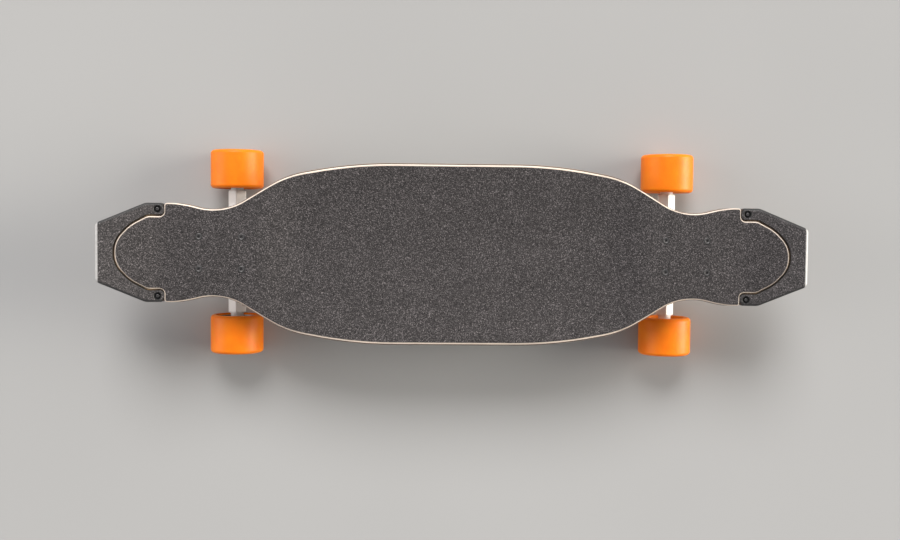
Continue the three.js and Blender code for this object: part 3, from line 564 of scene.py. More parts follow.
def build_grip():
    """The grip sheet: a top face, a rounded rim and an underside just clear of the wood."""
    underside, rim, across = 0.15, 0.5, 14
    upper, _, parting = deck_quarter()
    normals = outward_normals(upper, (0, 1), (1, 0))
    outline = []
    for i, (point, normal) in enumerate(zip(upper, normals)):
        bare = rim_size(point[0], SIDE_BARE, NECK_BARE, SEAM_BARE) if i < parting else SEAM_BARE
        outline.append(moved(point, normal, -bare))
    columns = []
    for point, normal, middle in zip(outline, normals, spine_of(outline)):
        edge = moved(point, normal, -rim)
        column = [on_deck(between(middle, edge, t / across), GRIP_TOP) for t in range(across)]
        column += rounded_top(point, normal, rim, GRIP_TOP, 4)
        for t in range(across + 1):
            column.append(on_deck(between(point, middle, t / across), underside))
        columns.append(column)
    grip = skin("grip_sheet", four_quarters(columns))
    bore = BOLT_HEAD_RADIUS + 0.1
    return drilled(grip, bolt_cutters([(0, -3), (bore, -3), (bore, 0.8), (bore + 0.4, 3), (0, 3)]))


# ---------------------------------------------------------------- bumpers
def bumper_half():
    """Half of the U-shaped outline, from the middle of its inside round the tip to the middle of
    the board's end, with the point on the U's middle line that each outline point runs to."""
    tip_x = SEAM_X + GAP
    inner_y = TONGUE_HALF_WIDTH + BUMPER_SEAM
    fan_x = tip_x + 8
    inner = rounded_path(tongue_path(fan_x, BUMPER_SEAM))[::-1]
    tip = rounded_path([
        (fan_x, inner_y), (tip_x, inner_y, 5), (tip_x, NECK_Y, 5), (fan_x, NECK_Y),
    ])
    outer = rounded_path([
        (fan_x, NECK_Y), (BUMPER_SHOULDER_X, NECK_Y, 15),
        (HALF_LENGTH, BUMPER_CORNER_Y, 7.5), (HALF_LENGTH, 0.0),
    ])
    count = 110
    inner = resampled(inner, count)
    outer = resampled(outer, count)[::-1]
    middle = [between(a, b, 0.5) for a, b in zip(inner, outer)]
    tip = spaced(tip, 0.6)
    outline = inner[:-1] + tip + outer[::-1][1:]
    spine = middle[:-1] + [middle[-1]] * len(tip) + middle[::-1][1:]
    return outline, spine, len(inner) - 1 + len(tip) // 2


def build_bumper():
    """A U-shaped end cap: a cover over the deck's ledge, with a skirt down the board's side."""
    outline, spine, halfway = bumper_half()
    normals = outward_normals(outline, (-1, 0), (1, 0))
    cover_under = BUMPER_COVER - GAP
    columns = []
    for i, (point, normal, middle) in enumerate(zip(outline, normals, spine)):
        outside = smooth((i - halfway) / 8)
        radius = BUMPER_INNER_EDGE + (BUMPER_EDGE - BUMPER_INNER_EDGE) * outside
        skirted = i > halfway
        edge = moved(point, normal, -radius)
        column = [on_deck(between(middle, edge, t / 6), GRIP_TOP) for t in range(6)]
        column += rounded_top(point, normal, radius, GRIP_TOP, 8)
        column.append(on_deck(point, -cover_under))
        bottom = -THICKNESS if skirted else -cover_under
        column += rounded_bottom(point, normal, BUMPER_FOOT if skirted else 0.0, bottom, 3)
        wall = moved(point, normal, -BUMPER_SKIRT if skirted else 0.0)
        column.append(on_deck(wall, bottom))
        column.append(on_deck(wall, -cover_under))
        column += [on_deck(between(wall, middle, t / 4), -cover_under) for t in range(1, 5)]
        columns.append(column)
    other_half = [[(x, -y, z) for x, y, z in column] for column in columns][::-1]
    bumper = skin("nose_bumper_shape", columns + other_half)
    counterbore = [(0, -3.45), (4.5, -3.45), (4.5, 0.35), (5.4, 1.15), (6.5, 2.2), (0, 2.2)]
    cutters = []
    for sign in (-1, 1):
        cutters.append(place(turned("cutter", counterbore, 48), bumper_screw_frame(1, sign)))
    return shade(combine(bumper, cutters, "DIFFERENCE"))


# ---------------------------------------------------------------- fasteners
def thread(radius, low, high, pitch=0.8, depth=0.35):
    """The profile of a threaded length of a shank, upwards."""
    turns = max(1, round((high - low) / pitch))
    points = []
    for i in range(turns):
        start = low + (high - low) * i / turns
        points += [(radius - depth, start), (radius, start + (high - low) / turns / 2)]
    return points + [(radius - depth, high)]


def socket_cut(obj, across_corners, top, depth):
    socket = prism("socket", hexagon(across_corners), top - depth, top + 2)
    return combine(obj, [socket], "DIFFERENCE")


def build_truck_bolt():
    """A countersunk socket bolt. Its origin is on the deck's top face."""
    top = 0.75
    profile = [(0, -25.2), (2.0, -25.2)] + thread(2.4, -24.8, -15.0) + [(2.4, -14.6), (2.4, -2.2)]
    profile += [(4.5, 0.05), (BOLT_HEAD_RADIUS, 0.3), (BOLT_HEAD_RADIUS, top - 0.3)]
    profile += [(4.3, top), (2.5, top), (2.3, top - 0.15), (0, top - 0.15)]
    return shade(socket_cut(turned("truck_bolt", profile, 48), 3.7, top, 2.2))


def build_lock_nut(name, across_corners, bore, height, collar):
    """A nylon-insert nut that stands on z = 0, with its corners chamfered and a round collar."""
    corner = across_corners / 2
    flat = corner * math.cos(math.pi / 6)
    body_top = height - collar
    body = prism(name, hexagon(across_corners), 0, body_top)
    chamfer = 0.35 * (corner - flat) + 0.2
    limits = [(0, 0), (flat - 0.1, 0), (corner, chamfer), (corner, body_top - chamfer)]
    limits += [(flat - 0.2, body_top), (0, body_top)]
    body = combine(body, [turned("limits", limits, 48)], "INTERSECT")
    inner = bore + 0.5
    crown = [(0, body_top - 0.5)] + arc((flat - 1.0, height - 0.9), 0.7, 0, 90, 5)
    crown += [(inner + 0.3, height - 0.2), (inner, height - 0.5), (0, height - 0.5)]
    body = combine(body, [turned("crown", crown, 48)], "UNION")
    return shade(combine(body, [rod("bore", bore, -1, height + 1, 40)], "DIFFERENCE"))


def build_button_screw():
    """A socket button screw that sits in the bumper's counterbore. Its origin is on the deck."""
    seat = -3.1
    top = seat + 2.6
    profile = [(0, -12), (1.7, -12)] + thread(2.0, -11.6, -5.4, 0.7, 0.3) + [(2.0, seat)]
    profile += [(2.9, seat), (3.0, seat + 0.2), (3.0, seat + 0.7)] + [(2.0, top - 0.1), (1.8, top)]
    profile += [(0, top)]
    return shade(socket_cut(turned("button_screw", profile, 48), 2.4, top, 0.7))


def build_flange_screw():
    """A small cross-headed pan screw that points up, with its head below z = 0."""
    profile = [(0, -1.9), (1.2, -1.9)] + arc((1.8, -0.9), 1.0, -90, 0, 6)
    profile += [(2.9, -0.9), (2.9, 0), (1.4, 0), (1.4, 4), (0, 4)]
    screw = turned("pan_screw", profile, 32)
    bar = [(-1.6, -0.3), (1.6, -0.3), (1.6, 0.3), (-1.6, 0.3)]
    cross = [place(prism("slot", bar, -3, -1.2), turn(angle, "Z")) for angle in (0, 90)]
    return shade(combine(screw, cross, "DIFFERENCE"))


# ---------------------------------------------------------------- trucks
def truck_frame(side):
    """Origin in the middle of the bolt pattern under the deck, X towards the board's end."""
    return shift(side * TRUCK_X, 0, FLAT_UNDERSIDE) @ turn(0 if side > 0 else 180, "Z")


def kingpin_frame(side):
    """Origin in the hanger's ring, X down the steering axis to the pivot, Z down the kingpin."""
    steer = Vector((math.cos(STEER_ANGLE), 0, math.sin(STEER_ANGLE)))
    down = Vector((math.sin(STEER_ANGLE), 0, -math.cos(STEER_ANGLE)))
    origin = Vector((AXLE_X - TRUCK_X, 0, AXLE_Z - FLAT_UNDERSIDE))
    origin += steer * AXLE_TO_RING - down * AXLE_OFFSET
    basis = Matrix((-steer, Vector((0, 1, 0)), down)).transposed().to_4x4()
    return truck_frame(side) @ Matrix.Translation(origin) @ basis


def cast_copy(node, name, voxel=0.85, passes=8):
    """The CAD node's shape as a casting, with the small fillets that a mould leaves."""
    obj = add_object(name, frame["nodes"][node].data.copy())
    remesh = obj.modifiers.new("cast", "REMESH")
    remesh.mode = "VOXEL"
    remesh.voxel_size = voxel * MM
    relax = obj.modifiers.new("relax", "SMOOTH")
    relax.factor = 0.5
    relax.iterations = passes
    apply_modifiers(obj)
    return shade(obj, 60)


def build_bushing(name, low, high):
    """A urethane bushing with soft rims and a waisted side."""
    bore, outer, rim = 5.05, 12.5, 1.4
    middle = (low + high) / 2
    profile = [(bore, low + 0.4), (bore + 0.4, low)]
    profile += arc((outer - rim, low + rim), rim, -90, 0, 6)
    profile += [(outer - 0.9, middle - 2), (outer - 1.1, middle), (outer - 0.9, middle + 2)]
    profile += arc((outer - rim, high - rim), rim, 0, 90, 6)
    profile += [(bore + 0.4, high), (bore, high - 0.4)]
    return turned(name, profile, 72)


def build_pivot_cup(name):
    """The rubber cup that the hanger's pivot turns in, along X of the kingpin's frame."""
    profile = [(5.8, 44.45), (7.6, 44.25)] + arc((7.7, 45.05), 0.8, -90, 0, 4)
    profile += [(8.5, 55.75), (5.8, 55.75)]
    return place(turned(name, profile, 56), turn(90, "Y"))


def build_kingpin(name):
    """A hex-headed pin, threaded at its free end."""
    head = prism(name, hexagon(16), -34.1, -28.4)
    shank = [(0, -29), (4.75, -29), (4.75, 14)] + thread(4.7, 14.4, 28.5, 1.25, 0.5)
    shank += [(4.0, 29.1), (0, 29.1)]
    return shade(combine(head, [turned("shank", shank, 48)], "UNION"))


def build_axle(name, reach):
    """A rod threaded at both ends, which lie at the given reach from its middle."""
    half = [(AXLE_RADIUS, 70)] + thread(AXLE_RADIUS, reach - 9, reach - 0.8, 1.25, 0.45)
    half += [(3.2, reach), (0, reach)]
    other = [(r, -z) for r, z in half][::-1]
    return turned(name, other + half, 48)


def build_washer(name, low):
    """A cupped washer that holds the lower bushing's rim."""
    profile = [(5.05, low), (11.0, low), (12.0, low + 0.2), (12.0, low + 1.6), (11.2, low + 2)]
    return turned(name, profile + [(5.05, low + 2)], 64)


# ---------------------------------------------------------------- wheels, drawn about Z outwards
def wheel_frame(end, handed):
    """Origin in the middle of a wheel, Z out of its outer face."""
    return shift(end * AXLE_X, handed * WHEEL_Y, AXLE_Z) @ turn(-90 * handed, "X")


def build_tyre(name, inner_radius, face_radius, inner_half_width):
    """A cast urethane tyre with round lips, a dished face and fine mould steps."""
    half, outer, lip = WHEEL_HALF_WIDTH, WHEEL_RADIUS, 5.0
    upper = arc((outer - lip, half - lip), lip, 0, 90, 14)
    upper += [(outer - lip - 1.2, half), (outer - lip - 1.5, half - 0.25)]
    upper.append((face_radius + 1.5, half - 0.3))
    upper += arc((face_radius + 1.5, half - 1.8), 1.5, 90, 160, 5)
    upper += [(inner_radius + 0.5, inner_half_width + 0.5), (inner_radius, inner_half_width)]
    lower = [(r, -z) for r, z in upper][::-1]
    return turned(name, lower + upper, 144)


def build_core(name):
    """The front wheels' plastic core with a ring of lightening pockets."""
    seat, outer, half = 11.3, 19.0, 13.0
    profile = [(seat, 4.7), (9.5, 4.7), (9.5, -4.7), (seat, -4.7), (seat, 0.4 - half)]
    profile += [(seat + 0.4, -half), (outer - 0.5, -half), (outer, 0.5 - half)]
    profile += [(outer, half - 0.5), (outer - 0.5, half), (seat + 0.4, half), (seat, half - 0.4)]
    core = turned(name, profile[::-1], 96)
    pockets = []
    for ends in ((-half - 2, 6 - half), (half - 6, half + 2)):
        pockets += ring(10, 15.2, lambda: rod("pocket", 1.7, *ends, 20))
    return drilled(core, pockets)


def build_bearing(name, low, high):
    """A shielded ball bearing: two rings with a shield let in between them."""
    profile = [(4.3, low + 0.3), (4.6, low), (6.4, low), (6.5, low + 0.4), (9.4, low + 0.4)]
    profile += [(9.5, low), (10.7, low), (11, low + 0.3)]
    profile += [(11, high - 0.3), (10.7, high), (9.5, high)]
    profile += [(9.4, high - 0.4), (6.5, high - 0.4), (6.4, high), (4.6, high), (4.3, high - 0.3)]
    return turned(name, profile, 72)


def build_rotor(name):
    """The hub motor's can, open inwards, with a screwed end plate and a pocket for the nut."""
    outer, inner, half = 27.5, 25.0, 23.0
    pocket, floor = 9.3, 16.0
    profile = [(inner, -half), (outer - 0.5, -half), (outer, 0.5 - half), (outer, half - 0.8)]
    profile += [(outer - 0.8, half), (23.2, half), (23.0, half - 0.6), (22.4, half - 0.6)]
    profile += [(22.2, half), (12.6, half)] + arc((12.6, half - 0.8), 0.8, 90, 180, 4)
    profile += [(pocket + 1.5, floor + 1), (pocket, floor), (4.3, floor), (4.3, floor - 4)]
    profile += [(12.3, floor - 4), (15.3, half - 4), (inner, half - 4)]
    rotor = turned(name, profile, 120)
    holes = ring(6, ROTOR_SCREW_RING, lambda: rod("hole", 1.9, half - 1.6, half + 1, 24))
    return drilled(rotor, holes)


def build_rotor_screws(name):
    """The six socket screws in the rotor's end plate."""
    seat, top = 21.45, 22.8
    head = [(0, seat), (1.6, seat), (1.6, top - 0.2), (1.4, top), (0, top)]
    return merged(name, ring(
        6, ROTOR_SCREW_RING, lambda: socket_cut(turned("screw", head, 24), 1.7, top, 0.8)))


def build_stator(name):
    """The motor's fixed flange on the wheel's inner side, with the coils' drum behind it."""
    inner = -WHEEL_HALF_WIDTH + 3.8
    profile = [(4.3, inner + 0.4), (4.8, inner), (15.0, inner)]
    profile += [(15.4, inner + 0.8), (22.4, inner + 0.8)]
    profile += arc((23.2, inner + 1.6), 1.0, -90, 0, 4) + [(24.2, 8.0), (23.6, 11.0), (8.3, 11.0)]
    profile += [(8.3, 11.7), (4.3, 11.7)]
    stator = turned(name, profile, 96)
    slot = [(17.0, -1.5), (21.6, -2.1), (21.6, 2.1), (17.0, 1.5)]
    return drilled(stator, ring(12, 0, lambda: prism("slot", slot, inner - 1, inner + 1.6)))


# ---------------------------------------------------------------- battery tray
def tray_outline(grow, count=240):
    """A quarter turn at each corner, from the middle of the +Y side clockwise."""
    long, wide, radius = TRAY_HALF_LENGTH + grow, TRAY_HALF_WIDTH + grow, TRAY_CORNER + grow
    corners = [(0, wide), (long, wide, radius), (long, -wide, radius), (-long, -wide, radius)]
    corners += [(-long, wide, radius), (0, wide)]
    return resampled(rounded_path(corners), count + 1)[:-1]


def build_tray():
    """A hollow tray with a flange under the deck's bent underside and a rounded foot."""
    inner, wall = tray_outline(-TRAY_WALL), tray_outline(0)
    flange, lip = tray_outline(FLANGE_WIDTH), tray_outline(FLANGE_WIDTH - 1)
    flange_under = TRAY_TOP - FLANGE_THICKNESS
    foot = 5.0
    turns = [math.radians(15 * step) for step in range(7)]
    round_in = [tray_outline(-foot * (1 - math.cos(angle))) for angle in turns]
    columns = []
    for i, (x, y) in enumerate(wall):
        straight = TRAY_HALF_LENGTH - TRAY_HALF_WIDTH
        middle = (max(-straight, min(straight, x)), 0.0)
        floor = TRAY_BOTTOM + TRAY_WALL
        column = [(*between(middle, inner[i], t / 3), floor) for t in range(4)]
        column += [on_deck(inner[i], TRAY_TOP), on_deck(lip[i], TRAY_TOP)]
        column += [on_deck(flange[i], TRAY_TOP - 0.8), on_deck(flange[i], TRAY_TOP - 2.4)]
        column.append(on_deck(lip[i], flange_under))
        column.append(on_deck(between(wall[i], lip[i], 0.2), flange_under))
        column.append(on_deck(wall[i], TRAY_TOP - 4.6))
        for angle, outline in zip(turns, round_in):
            column.append((*outline[i], TRAY_BOTTOM + foot * (1 - math.sin(angle))))
        edge = round_in[-1][i]
        column += [(*between(edge, middle, t / 6), TRAY_BOTTOM) for t in range(1, 7)]
        columns.append(column)
    tray = skin("tray_shell", columns)
    button = side_fitting(rod("cut", 6.3, -12, 12, 48), BUTTON_X)
    socket = side_fitting(rod("cut", 7.3, -12, 12, 48), SOCKET_X)
    lead = place(rod("cut", 7.3, -12, 12, 48), gland_frame())
    return shade(combine(tray, [button, socket, lead], "DIFFERENCE"))


def side_fitting(obj, x, out=0.0):
    """Turns a piece drawn about Z so that it points out of the tray's left wall."""
    return place(obj, shift(x, TRAY_HALF_WIDTH + out, FITTING_Z) @ turn(-90, "X"))


def gland_frame():
    return shift(-TRAY_HALF_LENGTH, 0, FITTING_Z) @ turn(-90, "Y")


def build_button(name):
    """A dished button cap with a flange behind the tray's wall."""
    profile = [(0, -4.5), (8, -4.5), (8, -3.3), (6.0, -3.3), (6.0, 1.0)]
    profile += arc((5.4, 1.0), 0.6, 0, 90, 5)
    profile += [(4.9, 1.6), (4.6, 1.3), (3.9, 1.3), (3.6, 1.5), (0, 1.2)]
    return side_fitting(turned(name, profile, 64), BUTTON_X)


def build_socket(name):
    """A round charge socket with a rim outside the tray's wall and a pin in its middle."""
    rim = 1.8
    profile = [(0, rim - 14), (7, rim - 14), (7, 0.3), (9.5, 0.3), (9.5, rim - 0.5)]
    profile += [(9.0, rim), (3.6, rim), (3.0, rim - 0.6), (3.0, rim - 12), (1.0, rim - 12)]
    profile += [(1.0, rim - 2.4), (0.6, rim - 2), (0, rim - 2)]
    return side_fitting(turned(name, profile, 64), SOCKET_X)


def build_cover(name):
    """The rubber flap over the charge port, on a small barrel above it."""
    face = 2 * GAP + 1.5
    disc = [(0, 0)] + [(9.9, 0)] + arc((9.9, 0.6), 0.6, -90, 0, 4) + arc((9.1, 0.6), 1.4, 0, 90, 6)
    disc += [(8.0, 2.0), (7.6, 1.7), (0, 1.7)]
    flap = side_fitting(turned(name, disc, 64), SOCKET_X, face)
    hinge_rise = 12.5
    strap = [(-3.8, -9), (3.8, -9), (3.8, hinge_rise), (-3.8, hinge_rise)]
    strap = prism("strap", strap, 0.1, 1.9)
    stand = shift(SOCKET_X, TRAY_HALF_WIDTH + face + 2, FITTING_Z) @ turn(90, "X")
    place(soften(strap, 0.5, 2), stand)
    barrel = turned("barrel", [(0, -5), (1.3, -5), (1.6, -4.7), (1.6, 4.7), (1.3, 5), (0, 5)], 32)
    hinge = shift(SOCKET_X, TRAY_HALF_WIDTH + face + 1, FITTING_Z + hinge_rise)
    place(barrel, hinge @ turn(90, "Y"))
    lift = prism("lift", [(-3, -12.6), (3, -12.6), (3, -9), (-3, -9)], 0.4, 1.6)
    place(soften(lift, 0.4, 2), stand)
    return shade(combine(flap, [strap, barrel, lift], "UNION"))


def build_gland(name):
    """A hexagonal cable gland in the tray's end wall, with an open bore."""
    nut = prism(name, hexagon(19), 0.3, 6)
    body = [(0, -8), (7, -8), (7, 9.6)] + arc((5.6, 9.6), 1.4, 0, 60, 5) + [(5.0, 14), (0, 14)]
    gland = combine(nut, [turned("body", body, 64)], "UNION")
    gland = combine(gland, [rod("bore", 3.5, -10, 16, 40)], "DIFFERENCE")
    return shade(place(gland, gland_frame()))


# ---------------------------------------------------------------- materials
class Look:
    """A principled material that is built up node by node in object coordinates."""

    def __init__(self, name, base, roughness, metallic=0.0):
        self.material = bpy.data.materials.new(name)
        self.material.use_nodes = True
        self.tree = self.material.node_tree
        self.shader = self.tree.nodes["Principled BSDF"]
        self.shader.inputs["Base Color"].default_value = (*base, 1)
        self.shader.inputs["Roughness"].default_value = roughness
        self.shader.inputs["Metallic"].default_value = metallic
        self.coordinates = self.add("ShaderNodeTexCoord").outputs["Object"]
        self.height = None

    def add(self, kind, **settings):
        node = self.tree.nodes.new(kind)
        for key, value in settings.items():
            setattr(node, key, value)
        return node

    def join(self, source, target):
        self.tree.links.new(source, target)
        return target

    def put(self, socket, value):
        if isinstance(value, bpy.types.NodeSocket):
            self.join(value, socket)
        else:
            socket.default_value = value

    def stretched(self, scale):
        """Object coordinates with a different scale along each axis."""
        node = self.add("ShaderNodeMapping")
        self.join(self.coordinates, node.inputs["Vector"])
        node.inputs["Scale"].default_value = scale
        return node.outputs["Vector"]

    def noise(self, size, detail=2.0, roughness=0.5, vector=None):
        """Noise with features of about the given size in millimetres."""
        node = self.add("ShaderNodeTexNoise")
        self.join(vector or self.coordinates, node.inputs["Vector"])
        node.inputs["Scale"].default_value = 1 / (size * MM)
        node.inputs["Detail"].default_value = detail
        node.inputs["Roughness"].default_value = roughness
        return node.outputs["Fac"]

    def cells(self, size, output="Color"):
        node = self.add("ShaderNodeTexVoronoi")
        self.join(self.coordinates, node.inputs["Vector"])
        node.inputs["Scale"].default_value = 1 / (size * MM)
        return node.outputs[output]

    def attribute(self, name):
        return self.add("ShaderNodeAttribute", attribute_name=name).outputs["Fac"]

    def ramp(self, source, stops, interpolation="LINEAR"):
        node = self.add("ShaderNodeValToRGB")
        node.color_ramp.interpolation = interpolation
        while len(node.color_ramp.elements) < len(stops):
            node.color_ramp.elements.new(1)
        for element, (position, colour) in zip(node.color_ramp.elements, stops):
            element.position = position
            element.color = (*colour, 1) if hasattr(colour, "__len__") else (colour,) * 3 + (1,)
        self.join(source, node.inputs["Fac"])
        return node.outputs["Color"]

    def product(self, a, b):
        node = self.add("ShaderNodeMath", operation="MULTIPLY")
        self.join(a, node.inputs[0])
        self.join(b, node.inputs[1])
        return node.outputs[0]

    def mix(self, factor, a, b, blend="MIX"):
        node = self.add("ShaderNodeMix", data_type="RGBA", blend_type=blend)
        self.put(node.inputs["Factor"], factor)
        self.put(node.inputs["A"], a)
        self.put(node.inputs["B"], b)
        return node.outputs["Result"]

    def tint(self, a, b):
        """Two colours multiplied."""
        return self.mix(1.0, a, b, "MULTIPLY")

    def colour(self, source):
        self.join(source, self.shader.inputs["Base Color"])

    def roughness(self, source, low, high):
        node = self.add("ShaderNodeMapRange")
        self.join(source, node.inputs["Value"])
        node.inputs["To Min"].default_value = low
        node.inputs["To Max"].default_value = high
        self.join(node.outputs["Result"], self.shader.inputs["Roughness"])

    def bump(self, source, depth, strength=1.0):
        """Raises the surface by up to the given depth in millimetres."""
        node = self.add("ShaderNodeBump")
        node.inputs["Distance"].default_value = depth * MM
        node.inputs["Strength"].default_value = strength
        self.join(source, node.inputs["Height"])
        if self.height is not None:
            self.join(self.height, node.inputs["Normal"])
        self.height = node.outputs["Normal"]
        self.join(self.height, self.shader.inputs["Normal"])

    def set(self, **values):
        for key, value in values.items():
            self.shader.inputs[key.replace("_", " ")].default_value = value


def grey(value):
    return (value, value, value)


GRIT_TINT = (1.0, 0.905, 0.927)
GRIT_LIGHTNESS = 0.048
GRAIN_SIZE = 0.8
CLUMP_SIZE = 1.7


def grit(look):
    """Colour of mineral grit: grains of many greys with a few bright crystals, in soft patches."""
    cell = look.add("ShaderNodeSeparateColor")
    look.join(look.cells(GRAIN_SIZE), cell.inputs[0])
    shares = [(0.0, 0.25), (0.45, 0.72), (0.85, 1.6), (1.0, 4.0)]
    grains = look.ramp(cell.outputs[0], [
        (at, tuple(GRIT_LIGHTNESS * share * c for c in GRIT_TINT)) for at, share in shares
    ])
    clumps = look.ramp(look.noise(CLUMP_SIZE, 3, 0.75), [(0.34, grey(0.45)), (0.66, grey(1.55))])
    patches = look.ramp(look.noise(38, 3), [(0.35, grey(0.93)), (0.68, grey(1.07))])
    return look.tint(look.tint(grains, clumps), patches)


def grip_look():
    look = Look("grip_grit", grey(0.08), 0.85)
    look.colour(grit(look))
    look.bump(look.cells(GRAIN_SIZE, "Distance"), 0.3, 0.8)
    look.bump(look.noise(CLUMP_SIZE, 3, 0.75), 0.4, 0.6)
    look.roughness(look.noise(2.4, 2), 0.66, 0.98)
    look.set(Specular_IOR_Level=0.3)
    return look.material


def bumper_look():
    """Moulded plastic: grained like the grip on top, smooth on its rounded edges and sides, with a
    painted highlight along the rounded edge of the board's end, broken into streaks by noise."""
    look = Look("bumper_moulding", grey(0.07), 0.5)
    flat = look.ramp(look.attribute("depth"), [(0.0, grey(1.0)), (0.06, grey(0.0))])
    plain = look.ramp(look.noise(14, 3), [(0.3, grey(0.024)), (0.7, grey(0.037))])
    skin_colour = look.mix(flat, plain, grit(look))
    # Painted highlight: a pale colour laid on the rounded edge of the board's end where the end mask
    # is set, broken into streaks by stretched noise.
    streak_noise = look.noise(3.5, 4, 0.7, look.stretched((1, 0.4, 1)))
    highlight_streaks = look.ramp(streak_noise, [(0.22, grey(0.55)), (0.42, grey(1.0))])
    highlighted = look.product(look.attribute("end_highlight"), highlight_streaks)
    pale = look.ramp(look.noise(5, 3), [(0.3, (0.46, 0.455, 0.445)), (0.7, (0.58, 0.57, 0.56))])
    look.colour(look.mix(highlighted, skin_colour, pale))
    look.bump(look.product(look.cells(GRAIN_SIZE, "Distance"), flat), 0.3, 0.7)
    look.bump(look.product(look.noise(CLUMP_SIZE, 3, 0.75), flat), 0.3, 0.6)
    look.bump(look.noise(0.5, 2), 0.03, 0.5)
    look.roughness(flat, 0.34, 0.88)
    return look.material


def maple_look():
    """Maple plies: a pale top ply, dyed plies between, two of them dark brown as painted shade on
    the rounded edge, and clear grain along the board.
    """
    look = Look("maple_plies", (0.62, 0.42, 0.26), 0.42)
    depth = look.attribute("depth")
    # The plies are real, but the dark brown given to two of them is painted shade: it darkens the
    # deck's rounded edge and side as if turned from the light.
    pale, shade_brown, tan = (0.84, 0.71, 0.60), (0.095, 0.066, 0.046), (0.50, 0.33, 0.19)
    dyed = (0.20, 0.11, 0.06)
    plies = [(0.0, pale), (0.070, shade_brown), (0.21, tan), (0.345, dyed), (0.385, tan), (0.53, shade_brown)]
    plies += [(0.58, tan), (0.72, dyed), (0.76, tan), (0.90, (0.64, 0.46, 0.30))]
    layers = look.ramp(depth, plies, "CONSTANT")
    grain = look.noise(9, 5, 0.6, look.stretched((0.035, 1, 1)))
    streaks = look.ramp(grain, [(0.30, grey(0.72)), (0.5, grey(1.0)), (0.72, grey(1.12))])
    pore_noise = look.noise(1.1, 3, 0.7, look.stretched((0.05, 1, 1)))
    pores = look.ramp(pore_noise, [(0.36, grey(0.80)), (0.50, grey(1.0))])
    look.colour(look.tint(look.tint(layers, streaks), pores))
    look.bump(pore_noise, 0.06, 0.6)
    look.roughness(grain, 0.34, 0.52)
    look.set(Coat_Weight=0.25, Coat_Roughness=0.18)
    return look.material


def urethane_look():
    """Cast urethane: deep orange, slightly see-through, satin with soft patches of roughness."""
    look = Look("urethane", (0.90, 0.20, 0.006), 0.42)
    cloud = look.noise(16, 3)
    look.colour(look.ramp(cloud, [(0.3, (0.92, 0.195, 0.001)), (0.7, (0.95, 0.235, 0.002))]))
    look.bump(look.noise(1.2, 3), 0.05, 0.5)
    look.bump(look.noise(7.0, 2), 0.10, 0.3)
    look.roughness(look.noise(5.0, 4), 0.36, 0.52)
    look.set(Subsurface_Weight=0.3, Subsurface_Scale=0.008, Specular_IOR_Level=0.3)
    look.shader.inputs["Subsurface Radius"].default_value = (1.0, 0.35, 0.05)
    return look.material


def powder_look():
    """White powder coat with its fine orange peel."""
    look = Look("white_powder_coat", (0.86, 0.85, 0.84), 0.34)
    cloud = look.noise(22, 3)
    look.colour(look.ramp(cloud, [(0.3, (0.82, 0.81, 0.80)), (0.7, (0.89, 0.88, 0.87))]))
    look.bump(look.noise(1.3, 2), 0.10, 0.5)
    look.bump(look.noise(0.5, 2), 0.03, 0.4)
    look.roughness(look.noise(3.0, 3), 0.26, 0.42)
    look.set(Coat_Weight=0.2, Coat_Roughness=0.2)
    return look.material


def metal_look(name, base, low, high, scratch=0.35):
    """Plated or machined metal with fine scratches, stains and tool marks."""
    look = Look(name, base, low, 1.0)
    stain = look.ramp(look.noise(6, 4, 0.65), [(0.3, grey(0.78)), (0.65, grey(1.06))])
    look.colour(look.tint((*base, 1), stain))
    look.bump(look.noise(0.35, 3, 0.7), 0.02, scratch)
    look.roughness(look.noise(2.2, 4, 0.7), low, high)
    return look.material


def moulded_look(name, dark, light, low, high, grain=0.7, depth=0.06):
    """Moulded plastic or rubber with a fine spark-eroded texture and slight scuffs."""
    look = Look(name, light, low)
    look.colour(look.ramp(look.noise(9, 4, 0.65), [(0.32, dark), (0.68, light)]))
    look.bump(look.noise(grain, 3, 0.6), depth, 0.6)
    look.roughness(look.noise(4.5, 4, 0.65), low, high)
    return look.material


def wrap_look():
    """Heat-shrink wrap over round cells, with the cells' rows pressed through it."""
    look = Look("battery_wrap", (0.02, 0.09, 0.35), 0.4)
    cloud = look.noise(12, 3)
    look.colour(look.ramp(cloud, [(0.3, (0.012, 0.06, 0.26)), (0.7, (0.03, 0.12, 0.42))]))
    wave = look.add("ShaderNodeTexWave", bands_direction="X")
    look.join(look.coordinates, wave.inputs["Vector"])
    wave.inputs["Scale"].default_value = 15
    wave.inputs["Distortion"].default_value = 0.3
    look.bump(wave.outputs["Fac"], 0.8, 0.7)
    look.bump(look.noise(3.0, 3), 0.15, 0.5)
    look.roughness(look.noise(5, 3), 0.25, 0.5)
    return look.material


def floor_look():
    look = Look("studio_floor", grey(0.38), 0.8)
    look.colour(look.ramp(look.noise(700, 2), [(0.3, grey(0.37)), (0.7, grey(0.39))]))
    look.roughness(look.noise(300, 2), 0.75, 0.85)
    return look.material


